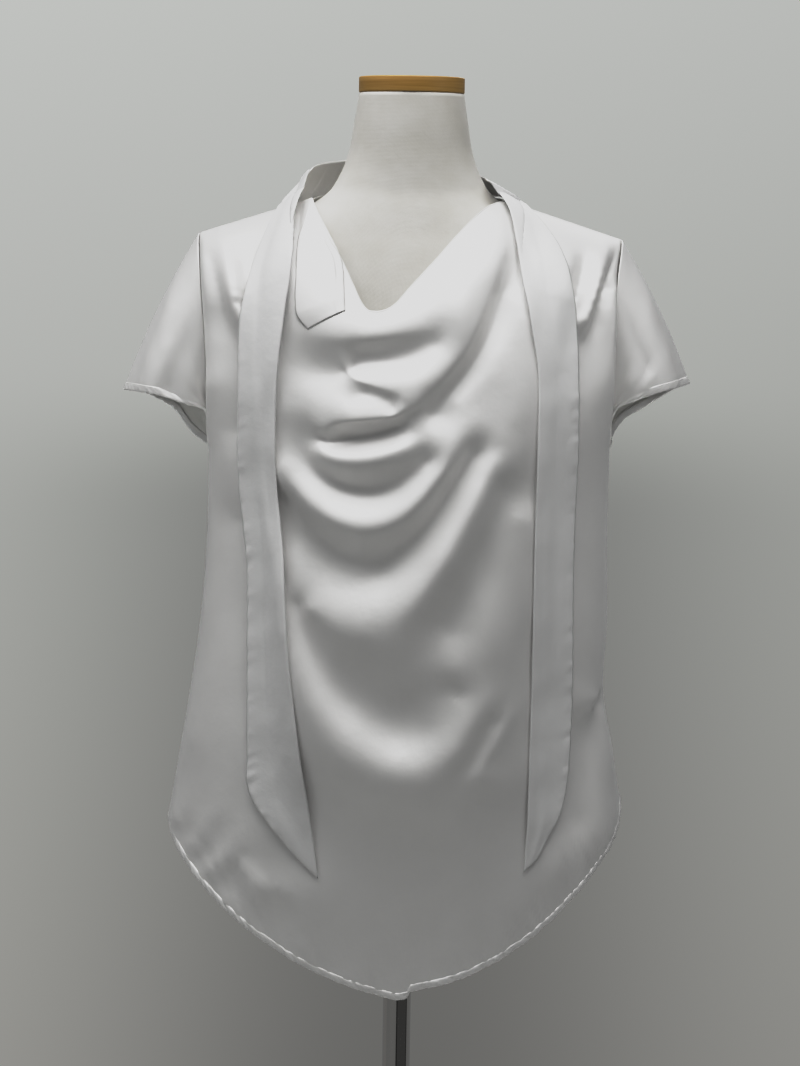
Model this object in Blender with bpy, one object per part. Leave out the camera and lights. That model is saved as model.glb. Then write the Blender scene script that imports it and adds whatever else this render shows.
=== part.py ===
"""A short-sleeved satin blouse with a draped cowl front, a neck band that ends in two long
ties and a curved shirt-tail hem, worn by a limbless dress form on a pole.

Metres, +Z up. The blouse's front faces -Y. The origin is on the floor, under the pole.
"""

from collections import namedtuple
import math

import bmesh
import bpy
import numpy as np

# ---- cloth
wall = 0.002  # thickness of every cloth wall
seam = 0.0003  # gap between pieces that are sewn together
lift = 0.0042  # how far the outer face of a piece stands off the panel that it lies on

# ---- shoulders and armholes
shoulder_top = 1.434  # height at which the two shoulder lines would meet over the neck
shoulder_fall = 0.32  # drop of the shoulder line for each metre outwards
neck_point = 0.085  # where the shoulder line starts, from the middle
shoulder_roll = 0.075  # height over which a panel turns over the shoulder
armhole_middle = 1.273  # height of the middle of each armhole
armhole_height = 0.097  # half height of an armhole
armhole_depth = 0.058  # half depth of an armhole
neck_reach = 0.100  # half width of the round the neck makes in the panels
neck_front = 0.060  # depth of the panels at the neck, in front
neck_back = 0.074  # and behind

# ---- hem
hem_low = 0.677  # lowest point of the front hem
hem_side_left = 0.817  # height where the hem meets the left side seam
hem_side_right = 0.834
hem_back_low = 0.684
hem_round = 0.7  # share of the hem's rise that follows a cosine

# ---- grids: columns across, rows down
front_columns, front_rows = 38, 32
back_columns, back_rows = 24, 18
front_crowd, back_crowd = 1.5, 1.9  # how much the rows crowd towards the shoulders
sleeve_sides, sleeve_rows = 26, 6
tie_columns, tie_rows = 3, 26
band_columns, band_rows = 2, 20
facing_columns, facing_rows = 4, 8
crowd_from, crowd_over = 1.30, 0.15  # below this height the columns crowd towards the sides
edge_start, edge_passes = 1.38, 12  # first guess and passes for a panel's upper edge
rest_low, rest_passes = 1.33, 30  # lowest guess and passes for the back's height at a depth
slope_step = 0.002  # spacing for slopes of the front's surface
front_middle = (0.0, 0.05, 1.05)  # points inside the blouse that its walls face away from
back_middle = (0.0, -0.05, 1.05)
band_middle = (0.0, 0.0, 1.42)
sleeve_middle = (0.21, 0.0, 1.27)

# ---- dress form
pole_radius = 0.0135
pole_foot = 0.014  # height at which the pole stands on the base
base_radius = 0.185
base_height = 0.014
base_edge = 0.003
collar_radius = 0.024  # the socket that clamps the torso on the pole
collar_height = 0.045
collar_gap = 0.0006
cap_radius = 0.0495
cap_height = 0.0145
cap_bottom = 1.5035
cap_edge = 0.0015
form_sides = 40
stand_sides = 28
base_sides = 64

Section = namedtuple("Section", "height left right front back")
body_sections = [  # half widths and depths of the blouse
    Section(0.660, 0.226, 0.217, 0.146, 0.138),
    Section(0.817, 0.221, 0.213, 0.146, 0.138),
    Section(0.882, 0.211, 0.203, 0.147, 0.138),
    Section(0.945, 0.201, 0.192, 0.149, 0.137),
    Section(1.005, 0.193, 0.194, 0.150, 0.133),
    Section(1.095, 0.187, 0.192, 0.151, 0.128),
    Section(1.165, 0.186, 0.192, 0.149, 0.126),
    Section(1.225, 0.186, 0.190, 0.140, 0.127),
    Section(1.285, 0.189, 0.192, 0.125, 0.124),
    Section(1.335, 0.194, 0.194, 0.106, 0.114),
    Section(1.372, 0.198, 0.200, 0.090, 0.104),
    Section(1.410, 0.200, 0.202, 0.078, 0.092),
]
section_power = 2.3  # 2 is an ellipse, more is squarer

Edge = namedtuple("Edge", "x height")
neckline = [  # the cowl's upper edge, from the left shoulder to the right
    Edge(-0.091, 1.4049),
    Edge(-0.080, 1.384),
    Edge(-0.060, 1.350),
    Edge(-0.041, 1.309),
    Edge(-0.029, 1.301),
    Edge(-0.010, 1.310),
    Edge(0.021, 1.343),
    Edge(0.046, 1.377),
    Edge(0.070, 1.399),
    Edge(0.089, 1.4055),
]

fold_points = 33  # points along a fold's centre line
fold_end, fold_fade = 0.08, 0.7  # how a fold fades towards its ends
fold_depth = 0.05  # depth of the panel over which its folds grow to their full height
Fold = namedtuple("Fold", "x0 z0 x1 z1 x2 z2 width rise")
largest_folds = [  # centre lines as start, bend and end; a rise below zero is a trough
    Fold(-0.112, 1.292, 0.010, 1.270, 0.086, 1.385, 0.016, 0.011),  # the cowl's top roll
    Fold(-0.105, 1.268, -0.030, 1.252, 0.035, 1.272, 0.010, -0.010),  # hollow under it
    Fold(0.086, 1.360, 0.075, 1.300, 0.005, 1.225, 0.010, -0.009),  # crease from the right
    Fold(-0.060, 1.252, -0.020, 1.240, 0.006, 1.217, 0.008, -0.008),  # upper pocket
    Fold(-0.080, 1.190, -0.030, 1.155, 0.020, 1.182, 0.012, -0.006),  # lower pocket
    Fold(-0.105, 1.155, -0.030, 0.985, 0.075, 1.210, 0.018, -0.006),  # deep swag
    Fold(-0.105, 1.097, -0.050, 0.700, 0.075, 0.950, 0.024, 0.009),  # lowest swag
]

TieRow = namedtuple("TieRow", "outer_x outer_z inner_x inner_z outer_lift inner_lift")
tie_left_rows = [
    TieRow(-0.1200, 1.4015, -0.0920, 1.4320, 0.0045, 0.0045),
    TieRow(-0.1300, 1.3780, -0.0920, 1.4060, 0.0045, 0.014),
    TieRow(-0.1405, 1.3500, -0.0965, 1.3810, 0.0045, 0.016),
    TieRow(-0.1475, 1.3230, -0.1020, 1.3500, 0.0045, 0.012),
    TieRow(-0.1525, 1.2840, -0.1080, 1.3050, 0.0045, 0.009),
    TieRow(-0.1525, 1.2200, -0.1155, 1.2300, 0.0045, 0.006),
    TieRow(-0.1495, 1.1450, -0.1135, 1.1500, 0.0045, 0.0045),
    TieRow(-0.1430, 1.0750, -0.1030, 1.0750, 0.0045, 0.0045),
    TieRow(-0.1420, 0.9800, -0.0955, 0.9800, 0.0045, 0.0045),
    TieRow(-0.1410, 0.9000, -0.0870, 0.9000, 0.0045, 0.0045),
    TieRow(-0.1370, 0.8580, -0.0800, 0.8450, 0.0045, 0.0045),
    TieRow(-0.0980, 0.8090, -0.0725, 0.7870, 0.0045, 0.0045),
]
tie_right_rows = [
    TieRow(0.1010, 1.4075, 0.0710, 1.4240, 0.0045, 0.0045),
    TieRow(0.1200, 1.3850, 0.0860, 1.3950, 0.0045, 0.009),
    TieRow(0.1330, 1.3650, 0.0945, 1.3650, 0.0045, 0.008),
    TieRow(0.1430, 1.3420, 0.1000, 1.3400, 0.0045, 0.008),
    TieRow(0.1505, 1.3080, 0.1070, 1.3050, 0.0045, 0.008),
    TieRow(0.1540, 1.2500, 0.1165, 1.2480, 0.0045, 0.0045),
    TieRow(0.1540, 1.1850, 0.1165, 1.1850, 0.0045, 0.0045),
    TieRow(0.1525, 1.1000, 0.1150, 1.1000, 0.0045, 0.0045),
    TieRow(0.1540, 1.0000, 0.1150, 1.0000, 0.0045, 0.0045),
    TieRow(0.1545, 0.9200, 0.1145, 0.9100, 0.0045, 0.0045),
    TieRow(0.1500, 0.8550, 0.1145, 0.8400, 0.0045, 0.0045),
    TieRow(0.1250, 0.8030, 0.1130, 0.7930, 0.0045, 0.0045),
]

Band = namedtuple("Band", "left right back left_z back_z right_z")
band_lower = Band(-0.1200, 0.1010, 0.0890, 1.4000, 1.3960, 1.4060)
band_upper = Band(-0.0920, 0.0710, 0.0740, 1.4320, 1.4430, 1.4240)
band_clear = 0.001  # between the band's lower edge and the back

FacingRow = namedtuple("FacingRow", "height outer inner stand")
facing_spread = [  # the strip of facing that has turned out at the left of the neckline
    FacingRow(1.392, -0.0900, -0.0850, 0.0045),
    FacingRow(1.375, -0.0925, -0.0760, 0.0050),
    FacingRow(1.350, -0.0980, -0.0610, 0.0060),
    FacingRow(1.325, -0.1000, -0.0500, 0.0060),
    FacingRow(1.300, -0.0985, -0.0500, 0.0060),
    FacingRow(1.288, -0.0950, -0.0700, 0.0060),
]

SleeveRow = namedtuple("SleeveRow", "turn out forward height")
sleeve_left_hem = [  # the open end of a sleeve: degrees from the top, round by the front
    SleeveRow(0, 0.268, 0.000, 1.222),
    SleeveRow(45, 0.249, 0.042, 1.2225),
    SleeveRow(90, 0.225, 0.058, 1.222),
    SleeveRow(115, 0.207, 0.054, 1.2155),
    SleeveRow(135, 0.195, 0.043, 1.207),
    SleeveRow(160, 0.1935, 0.020, 1.180),
    SleeveRow(180, 0.1935, 0.000, 1.171),
    SleeveRow(205, 0.194, -0.026, 1.168),
    SleeveRow(235, 0.205, -0.049, 1.178),
    SleeveRow(270, 0.222, -0.057, 1.198),
    SleeveRow(315, 0.250, -0.040, 1.216),
]
sleeve_right_hem = [
    SleeveRow(0, 0.267, 0.000, 1.236),
    SleeveRow(45, 0.250, 0.042, 1.234),
    SleeveRow(90, 0.228, 0.058, 1.230),
    SleeveRow(115, 0.208, 0.054, 1.2265),
    SleeveRow(135, 0.1985, 0.043, 1.214),
    SleeveRow(160, 0.1975, 0.020, 1.181),
    SleeveRow(180, 0.1975, 0.000, 1.172),
    SleeveRow(205, 0.1975, -0.026, 1.176),
    SleeveRow(235, 0.208, -0.049, 1.196),
    SleeveRow(270, 0.230, -0.057, 1.209),
    SleeveRow(315, 0.253, -0.040, 1.226),
]
sleeve_arch = 0.0095  # how far a sleeve arches out over the top
arch_reach = 0.6  # how far down the sides the arch reaches, 1 for all round
arch_forward = 0.5  # share of the arch that goes forwards and back

Ring = namedtuple("Ring", "height half front back")
torso_rings = [
    Ring(0.774, 0.142, 0.098, 0.104),
    Ring(0.782, 0.152, 0.106, 0.112),
    Ring(0.810, 0.159, 0.112, 0.119),
    Ring(0.860, 0.163, 0.114, 0.122),
    Ring(0.930, 0.151, 0.106, 0.108),
    Ring(1.000, 0.126, 0.094, 0.084),
    Ring(1.050, 0.127, 0.098, 0.082),
    Ring(1.100, 0.139, 0.112, 0.090),
    Ring(1.150, 0.148, 0.125, 0.099),
    Ring(1.200, 0.151, 0.120, 0.105),
    Ring(1.250, 0.154, 0.104, 0.108),
    Ring(1.300, 0.160, 0.090, 0.105),
    Ring(1.340, 0.166, 0.077, 0.095),
    Ring(1.362, 0.166, 0.069, 0.086),
    Ring(1.372, 0.158, 0.065, 0.081),
    Ring(1.384, 0.131, 0.061, 0.075),
    Ring(1.397, 0.096, 0.057, 0.069),
    Ring(1.410, 0.077, 0.053, 0.064),
    Ring(1.425, 0.067, 0.051, 0.059),
    Ring(1.445, 0.059, 0.050, 0.055),
    Ring(1.475, 0.0535, 0.0495, 0.0515),
    Ring(1.503, 0.0490, 0.0485, 0.0485),
]
torso_power = 2.1  # 2 is an ellipse


# ---------------------------------------------------------------- curves and surfaces


def ease(value):
    """0 below 0, 1 above 1, smooth in between."""
    t = np.clip(value, 0.0, 1.0)
    return t * t * (3.0 - 2.0 * t)


def read(rows, key, column, at):
    """A table's column, on a smooth curve through its rows, at each value of its key."""
    keys = np.array([getattr(row, key) for row in rows])
    values = np.array([getattr(row, column) for row in rows])
    order = np.argsort(keys)
    keys = keys[order]
    values = values[order]
    slopes = np.gradient(values, keys)
    at = np.clip(np.asarray(at, float), keys[0], keys[-1])
    i = np.clip(np.searchsorted(keys, at) - 1, 0, len(keys) - 2)
    step = keys[i + 1] - keys[i]
    t = (at - keys[i]) / step
    start = (1.0 + 2.0 * t) * (1.0 - t) ** 2 * values[i] + t * (1.0 - t) ** 2 * step * slopes[i]
    end = t * t * (3.0 - 2.0 * t) * values[i + 1] + t * t * (t - 1.0) * step * slopes[i + 1]
    return start + end


def shoulder_height(x):
    return shoulder_top - shoulder_fall * np.maximum(np.abs(x), neck_point)


def half_width(x, height):
    """Half width of the blouse on the side that x is on."""
    left = read(body_sections, "height", "left", height)
    right = read(body_sections, "height", "right", height)
    return np.where(np.asarray(x) < 0.0, left, right)


def armhole_reach(height):
    """Half depth of the armhole at a height; none below the underarm."""
    up = (np.asarray(height) - armhole_middle) / armhole_height
    return armhole_depth * np.sqrt(np.clip(1.0 - up * up, 0.0, 1.0))


def panel_depth(x, height, side, neck):
    """How far the front or the back of the blouse stands from the seams' plane."""
    out = np.clip(np.abs(x) / half_width(x, height), 0.0, 1.0)
    round_share = (1.0 - out**section_power) ** (1.0 / section_power)
    edge = armhole_reach(height)
    full = edge + (read(body_sections, "height", side, height) - edge) * round_share
    drop = np.clip((shoulder_height(x) - height) / shoulder_roll, 0.0, 1.0)
    turn = np.sqrt(1.0 - (1.0 - drop) ** 2)
    start = neck * np.sqrt(np.clip(1.0 - (x / neck_reach) ** 2, 0.0, 1.0))
    return start + (full - start) * turn


def fold_relief(x, height):
    """The largest folds, as a distance out of the front panel."""
    x = np.asarray(x, float)
    height = np.asarray(height, float)
    relief = np.zeros(np.broadcast(x, height).shape)
    for fold in largest_folds:
        t = np.linspace(0.0, 1.0, fold_points)
        line_x = (1 - t) ** 2 * fold.x0 + 2 * t * (1 - t) * fold.x1 + t * t * fold.x2
        line_z = (1 - t) ** 2 * fold.z0 + 2 * t * (1 - t) * fold.z1 + t * t * fold.z2
        away = np.hypot(x[..., None] - line_x, height[..., None] - line_z)
        taper = np.sin(math.pi * (fold_end + (1.0 - 2.0 * fold_end) * t)) ** fold_fade
        pull = taper * np.exp(-((away / fold.width) ** 2))
        relief = relief + fold.rise * pull.max(axis=-1)
    return relief


def across_to_x(across, height):
    """Where a column of a panel is at a height: even at the shoulder, crowded at the side."""
    low = ease((crowd_from - height) / crowd_over)
    size = np.abs(across)
    share = size * (1.0 - low) + np.sin(size * math.pi / 2.0) * low
    return np.sign(across) * share * half_width(across, height)


def top_height(across, edge_height):
    """Height of a panel's upper edge on each column."""
    height = np.full(across.shape, edge_start)
    for _ in range(edge_passes):
        height = edge_height(across_to_x(across, height))
    return height


def front_edge(x):
    """The front's upper edge: a shoulder seam, the neckline and the other shoulder seam."""
    inside = (x > neckline[0].x) & (x < neckline[-1].x)
    return np.where(inside, read(neckline, "x", "height", x), shoulder_height(x))


def back_edge(x):
    """The back's upper edge: the shoulder seams and a flat curve behind the neck."""
    rise = 0.006 * (1.0 - ease(np.abs(x) / neck_point))
    return shoulder_height(x) - rise


def hem_height(across, low):
    """The shirt tail: low in the middle and high at the side seams."""
    side = np.where(across < 0.0, hem_side_left, hem_side_right)
    size = np.abs(across)
    share = hem_round * (1.0 - np.cos(math.pi * size)) / 2.0 + (1.0 - hem_round) * size
    return low + (side - low) * share


def panel_grid(columns, rows, crowd, edge_height, low, side, neck, direction):
    """Outer face of the front (direction -1) or the back (direction 1)."""
    across = np.linspace(-1.0, 1.0, columns + 1)[None, :]
    down = np.linspace(0.0, 1.0, rows + 1)[:, None] ** crowd
    top = top_height(across, edge_height)
    height = top + (hem_height(across, low) - top) * down
    x = across_to_x(across + 0.0 * height, height)
    depth = panel_depth(x, height, side, neck)
    if direction < 0:
        depth = depth + fold_relief(x, height) * ease(depth / fold_depth)
    y = direction * np.maximum(depth, seam / 2.0)
    return np.stack([x, y, height], axis=-1)


# ---------------------------------------------------------------- solids


def material(name, colour, roughness, metallic=0.0):
    """A Principled material, made once for each name."""
    made = bpy.data.materials.get(name) or bpy.data.materials.new(name)
    made.use_nodes = True
    shader = made.node_tree.nodes["Principled BSDF"]
    shader.inputs["Base Color"].default_value = (*colour, 1.0)
    shader.inputs["Roughness"].default_value = roughness
    shader.inputs["Metallic"].default_value = metallic
    made.diffuse_color = (*colour, 1.0)
    return made


def satin():
    return material("satin", (0.82, 0.82, 0.81), 0.42)


def linen():
    return material("linen", (0.80, 0.79, 0.75), 0.9)


def wood():
    return material("wood", (0.42, 0.25, 0.07), 0.45)


def chrome():
    return material("chrome", (0.72, 0.73, 0.74), 0.12, 1.0)


def add_object(name, points, faces, finish):
    """One closed body with its faces pointing out."""
    mesh = bpy.data.meshes.new(name)
    body = bmesh.new()
    corners = [body.verts.new(point) for point in points]
    for face in faces:
        body.faces.new([corners[i] for i in face])
    bmesh.ops.recalc_face_normals(body, faces=body.faces)
    body.to_mesh(mesh)
    body.free()
    mesh.materials.append(finish)
    mesh.shade_smooth()
    mesh.set_sharp_from_angle(angle=math.radians(40.0))
    made = bpy.data.objects.new(name, mesh)
    bpy.context.scene.collection.objects.link(made)
    return made


def grid_normals(grid, closed, centre):
    """A unit normal at each point of a grid, turned away from the centre line."""
    if closed:
        along = np.roll(grid, -1, axis=1) - np.roll(grid, 1, axis=1)
    else:
        along = np.gradient(grid, axis=1)
    down = np.gradient(grid, axis=0)
    normal = np.cross(along, down)
    normal /= np.maximum(np.linalg.norm(normal, axis=-1, keepdims=True), 1e-9)
    outward = (normal * (grid - centre)).sum()
    return normal if outward > 0.0 else -normal


def cloth_wall(name, grid, centre, closed=False, limit=None):
    """A wall of cloth inwards from a grid of outer points: an open sheet or an open tube."""
    normal = grid_normals(grid, closed, centre)
    inner = grid - normal * wall
    if limit:
        inner = limit(inner)
    rows, columns = grid.shape[:2]
    points = np.concatenate([grid.reshape(-1, 3), inner.reshape(-1, 3)])
    layer = rows * columns
    spans = columns if closed else columns - 1
    faces = []
    for row in range(rows - 1):
        for column in range(spans):
            a = row * columns + column
            b = row * columns + (column + 1) % columns
            quad = [a, b, b + columns, a + columns]
            faces.append(quad)
            faces.append([layer + i for i in reversed(quad)])
    for row in (0, rows - 1):
        for column in range(spans):
            a = row * columns + column
            b = row * columns + (column + 1) % columns
            faces.append([a, b, layer + b, layer + a])
    if not closed:
        for row in range(rows - 1):
            for column in (0, columns - 1):
                a = row * columns + column
                b = a + columns
                faces.append([a, b, layer + b, layer + a])
    return add_object(name, points.tolist(), faces, satin())


def front_side(points):
    """Keeps a wall's inner face in front of the seams' plane."""
    points[..., 1] = np.minimum(points[..., 1], -seam / 2.0)
    return points


def back_side(points):
    points[..., 1] = np.maximum(points[..., 1], seam / 2.0)
    return points


def make_front():
    size = (front_columns, front_rows, front_crowd)
    grid = panel_grid(*size, front_edge, hem_low, "front", neck_front, -1)
    return cloth_wall("front", grid, front_middle, limit=front_side)


def make_back():
    size = (back_columns, back_rows, back_crowd)
    grid = panel_grid(*size, back_edge, hem_back_low, "back", neck_back, 1)
    return cloth_wall("back", grid, back_middle, limit=back_side)


def front_depth(x, height):
    """The front panel's depth, with its folds' ridges but not their troughs."""
    depth = panel_depth(x, height, "front", neck_front)
    return depth + np.maximum(fold_relief(x, height), 0.0) * ease(depth / fold_depth)


def on_front(x, height, stand):
    """A point that stands off the front panel's outer face, along its normal."""
    step = slope_step
    depth = front_depth(x, height)
    sideways = (front_depth(x + step, height) - front_depth(x - step, height)) / step / 2.0
    upwards = (front_depth(x, height + step) - front_depth(x, height - step)) / step / 2.0
    normal = np.stack([-sideways, -np.ones_like(depth), -upwards], axis=-1)
    normal /= np.linalg.norm(normal, axis=-1, keepdims=True)
    return np.stack([x, -depth, height], axis=-1) + normal * stand[..., None]


def tie_grid(rows):
    """A tie: from the shoulder's crest, down the front, to its slanted end."""
    place = [row._replace(outer_z=i, inner_z=i) for i, row in enumerate(rows)]
    at = np.linspace(0.0, len(rows) - 1.0, tie_rows + 1)
    outer_x = read(place, "outer_z", "outer_x", at)
    inner_x = read(place, "outer_z", "inner_x", at)
    outer_lift = read(place, "outer_z", "outer_lift", at)
    inner_lift = read(place, "outer_z", "inner_lift", at)
    steps = np.arange(len(rows))
    outer_z = np.interp(at, steps, [row.outer_z for row in rows])
    inner_z = np.interp(at, steps, [row.inner_z for row in rows])
    share = np.linspace(0.0, 1.0, tie_columns + 1)[None, :]
    x = outer_x[:, None] + (inner_x - outer_x)[:, None] * share
    height = outer_z[:, None] + (inner_z - outer_z)[:, None] * share
    stand = outer_lift[:, None] + (inner_lift - outer_lift)[:, None] * share
    grid = on_front(x, height, stand)
    grid[0, :, 1] = -seam / 2.0
    return grid


def make_ties():
    for name, rows in (("tie_left", tie_left_rows), ("tie_right", tie_right_rows)):
        cloth_wall(name, tie_grid(rows), front_middle, limit=front_side)


def band_edge(edge, turn):
    """One edge of the neck band, round the back from the left crest to the right."""
    middle = (edge.left + edge.right) / 2.0
    half = (edge.right - edge.left) / 2.0
    x = middle - half * np.cos(turn)
    y = np.maximum(edge.back * np.sin(turn), seam / 2.0)
    ends = edge.left_z + (edge.right_z - edge.left_z) * turn / math.pi
    height = ends + (edge.back_z - (edge.left_z + edge.right_z) / 2.0) * np.sin(turn)
    return np.stack([x, y, height], axis=-1)


def back_height(x, y):
    """Height at which the back's outer face is a given depth behind the seams' plane."""
    low = np.full(np.shape(x), rest_low)
    high = shoulder_height(x)
    for _ in range(rest_passes):
        middle = (low + high) / 2.0
        inside = panel_depth(x, middle, "back", neck_back) > y
        low = np.where(inside, middle, low)
        high = np.where(inside, high, middle)
    return (low + high) / 2.0


def make_band():
    turn = np.linspace(0.0, math.pi, band_rows + 1)
    lower = band_edge(band_lower, turn)
    rest = back_height(lower[:, 0], np.maximum(lower[:, 1] - wall - band_clear, 0.0))
    lower[:, 2] = rest + lift * (1.0 - np.sin(turn))
    upper = band_edge(band_upper, turn)
    share = np.linspace(0.0, 1.0, band_columns + 1)[None, :, None]
    grid = lower[:, None, :] * (1.0 - share) + upper[:, None, :] * share
    return cloth_wall("neck_band", grid, band_middle, limit=back_side)


def make_facing():
    height = np.linspace(facing_spread[0].height, facing_spread[-1].height, facing_rows + 1)
    outer = read(facing_spread, "height", "outer", height)
    inner = read(facing_spread, "height", "inner", height)
    stand = read(facing_spread, "height", "stand", height)
    share = np.linspace(0.0, 1.0, facing_columns + 1)[None, :]
    x = outer[:, None] + (inner - outer)[:, None] * share
    grid = on_front(x, height[:, None] + 0.0 * x, stand[:, None] + 0.0 * x)
    return cloth_wall("front_facing", grid, front_middle)


def sleeve_grid(hem, sign):
    """A sleeve, from its seam on the armhole out to its open hem."""
    turn = np.linspace(0.0, 2.0 * math.pi, sleeve_sides, endpoint=False)[None, :]
    along = np.linspace(0.0, 1.0, sleeve_rows + 1)[:, None]
    up = np.cos(turn)
    forward = np.sin(turn)
    start_z = armhole_middle + armhole_height * up
    start_x = half_width(sign, start_z) + seam
    start_y = -armhole_depth * forward
    round_hem = hem + [hem[0]._replace(turn=360)]
    degrees = np.degrees(turn)
    end_x = read(round_hem, "turn", "out", degrees)
    end_y = -read(round_hem, "turn", "forward", degrees)
    end_z = read(round_hem, "turn", "height", degrees)
    arch = sleeve_arch * 4.0 * along * (1.0 - along) * ease(up + arch_reach)
    x = start_x + (end_x - start_x) * along + arch
    y = start_y + (end_y - start_y) * along - arch_forward * arch * forward
    height = start_z + (end_z - start_z) * along
    return np.stack([sign * x, y, height], axis=-1)


def make_sleeves():
    for name, hem, sign in (
        ("sleeve_left", sleeve_left_hem, -1.0),
        ("sleeve_right", sleeve_right_hem, 1.0),
    ):

        def outside(points, sign=sign):
            edge = half_width(sign, points[..., 2]) + seam
            points[..., 0] = sign * np.maximum(sign * points[..., 0], edge)
            return points

        centre = (sign * sleeve_middle[0], *sleeve_middle[1:])
        cloth_wall(name, sleeve_grid(hem, sign), centre, closed=True, limit=outside)


# ---------------------------------------------------------------- dress form


def turned(name, profile, finish, sides=form_sides):
    """A closed solid of revolution about the pole, from (radius, height) pairs."""
    points = []
    for radius, height in profile:
        for i in range(sides):
            turn = 2.0 * math.pi * i / sides
            points.append((radius * math.cos(turn), radius * math.sin(turn), height))
    return stacked(name, points, sides, finish)


def stacked(name, points, sides, finish):
    """Rings of points joined by quads, with a flat face at each end."""
    rings = len(points) // sides
    faces = [list(range(sides)), [(rings - 1) * sides + i for i in range(sides)]]
    for ring in range(rings - 1):
        for i in range(sides):
            a = ring * sides + i
            b = ring * sides + (i + 1) % sides
            faces.append([a, b, b + sides, a + sides])
    return add_object(name, points, faces, finish)


def make_torso():
    """The padded torso and neck: one smooth body with a flat underside."""
    points = []
    power = 2.0 / torso_power
    for ring in torso_rings:
        for i in range(form_sides):
            turn = 2.0 * math.pi * i / form_sides
            c = math.cos(turn)
            s = math.sin(turn)
            depth = ring.back if s > 0.0 else ring.front
            x = ring.half * math.copysign(abs(c) ** power, c)
            y = depth * math.copysign(abs(s) ** power, s)
            points.append((x, y, ring.height))
    return stacked("torso", points, form_sides, linen())


def make_cap():
    low = cap_bottom
    top = cap_bottom + cap_height
    profile = [
        (cap_radius - cap_edge, low),
        (cap_radius, low + cap_edge),
        (cap_radius, top - cap_edge),
        (cap_radius - cap_edge, top),
    ]
    return turned("neck_cap", profile, wood())


def make_stand():
    torso_floor = torso_rings[0].height
    collar_low = torso_floor - collar_gap - collar_height
    profile = [
        (collar_radius - cap_edge, collar_low),
        (collar_radius, collar_low + cap_edge),
        (collar_radius, torso_floor - collar_gap),
    ]
    turned("pole_collar", profile, chrome(), stand_sides)
    pole = [
        (pole_radius, pole_foot + collar_gap),
        (pole_radius, collar_low - collar_gap),
    ]
    turned("pole", pole, chrome(), stand_sides)
    base = [
        (base_radius - base_edge, 0.0),
        (base_radius, base_edge),
        (base_radius, base_height - 2.0 * base_edge),
        (base_radius - 2.0 * base_edge, base_height),
    ]
    turned("base", base, chrome(), base_sides)


def build():
    for old in list(bpy.data.objects):
        bpy.data.objects.remove(old, do_unlink=True)
    make_front()
    make_back()
    make_sleeves()
    make_band()
    make_ties()
    make_facing()
    make_torso()
    make_cap()
    make_stand()


build()
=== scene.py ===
import math

import bpy
import numpy as np
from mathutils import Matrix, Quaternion, Vector


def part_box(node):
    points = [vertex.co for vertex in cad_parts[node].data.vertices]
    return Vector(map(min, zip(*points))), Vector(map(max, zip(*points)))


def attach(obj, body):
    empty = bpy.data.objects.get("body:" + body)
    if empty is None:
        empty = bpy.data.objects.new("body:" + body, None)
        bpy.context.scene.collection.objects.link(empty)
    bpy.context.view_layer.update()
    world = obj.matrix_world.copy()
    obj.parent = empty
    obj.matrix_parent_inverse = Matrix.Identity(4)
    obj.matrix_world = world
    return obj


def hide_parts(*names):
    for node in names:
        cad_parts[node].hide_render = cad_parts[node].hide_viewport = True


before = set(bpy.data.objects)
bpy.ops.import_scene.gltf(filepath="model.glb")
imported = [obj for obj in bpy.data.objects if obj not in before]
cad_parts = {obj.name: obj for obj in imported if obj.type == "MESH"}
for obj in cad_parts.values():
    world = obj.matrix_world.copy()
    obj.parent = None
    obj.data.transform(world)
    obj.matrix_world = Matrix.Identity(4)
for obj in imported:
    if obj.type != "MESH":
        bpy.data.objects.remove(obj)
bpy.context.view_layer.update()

scene = bpy.context.scene
bpy.ops.object.select_all(action="DESELECT")

# A satin blouse with a draped cowl, worn by a dress form. Metres, front faces -Y, floor at z = 0.

# camera: level with the chest, a long way off, so that little of it looks wide
cameraSettings = {"place": (-0.0043, -2.8, 1.404), "down": 6.42, "roll": 0.93, "lens": 99.96, "sensor": 36.0}

cameraData = bpy.data.cameras.new("camera")
cameraData.sensor_fit = "VERTICAL"
cameraData.sensor_height = cameraSettings["sensor"]
cameraData.lens = cameraSettings["lens"]
camera = bpy.data.objects.new("camera", cameraData)
scene.collection.objects.link(camera)
tiltDown = Quaternion((1.0, 0.0, 0.0), math.radians(90.0 - cameraSettings["down"]))
rollOver = Quaternion((0.0, 0.0, 1.0), math.radians(cameraSettings["roll"]))
camera.location = cameraSettings["place"]
camera.rotation_euler = (tiltDown @ rollOver).to_euler()
scene.camera = camera

# tone: what the scene's brightness is shown as, with soft highlights
toneSettings = [
    (0.0, 0.0), (0.12, 0.095), (0.25, 0.225), (0.45, 0.49),
    (0.62, 0.63), (0.9, 0.705), (1.4, 0.75), (3.0, 0.80),
]

scene.view_settings.view_transform = "Standard"
scene.view_settings.use_curve_mapping = True
toneCurve = scene.view_settings.curve_mapping
toneCurve.use_clip = False
brightness = toneCurve.curves[3]
brightness.points[-1].location = toneSettings[-1]
for knot in toneSettings[1:-1]:
    brightness.points.new(*knot)
toneCurve.update()

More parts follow.
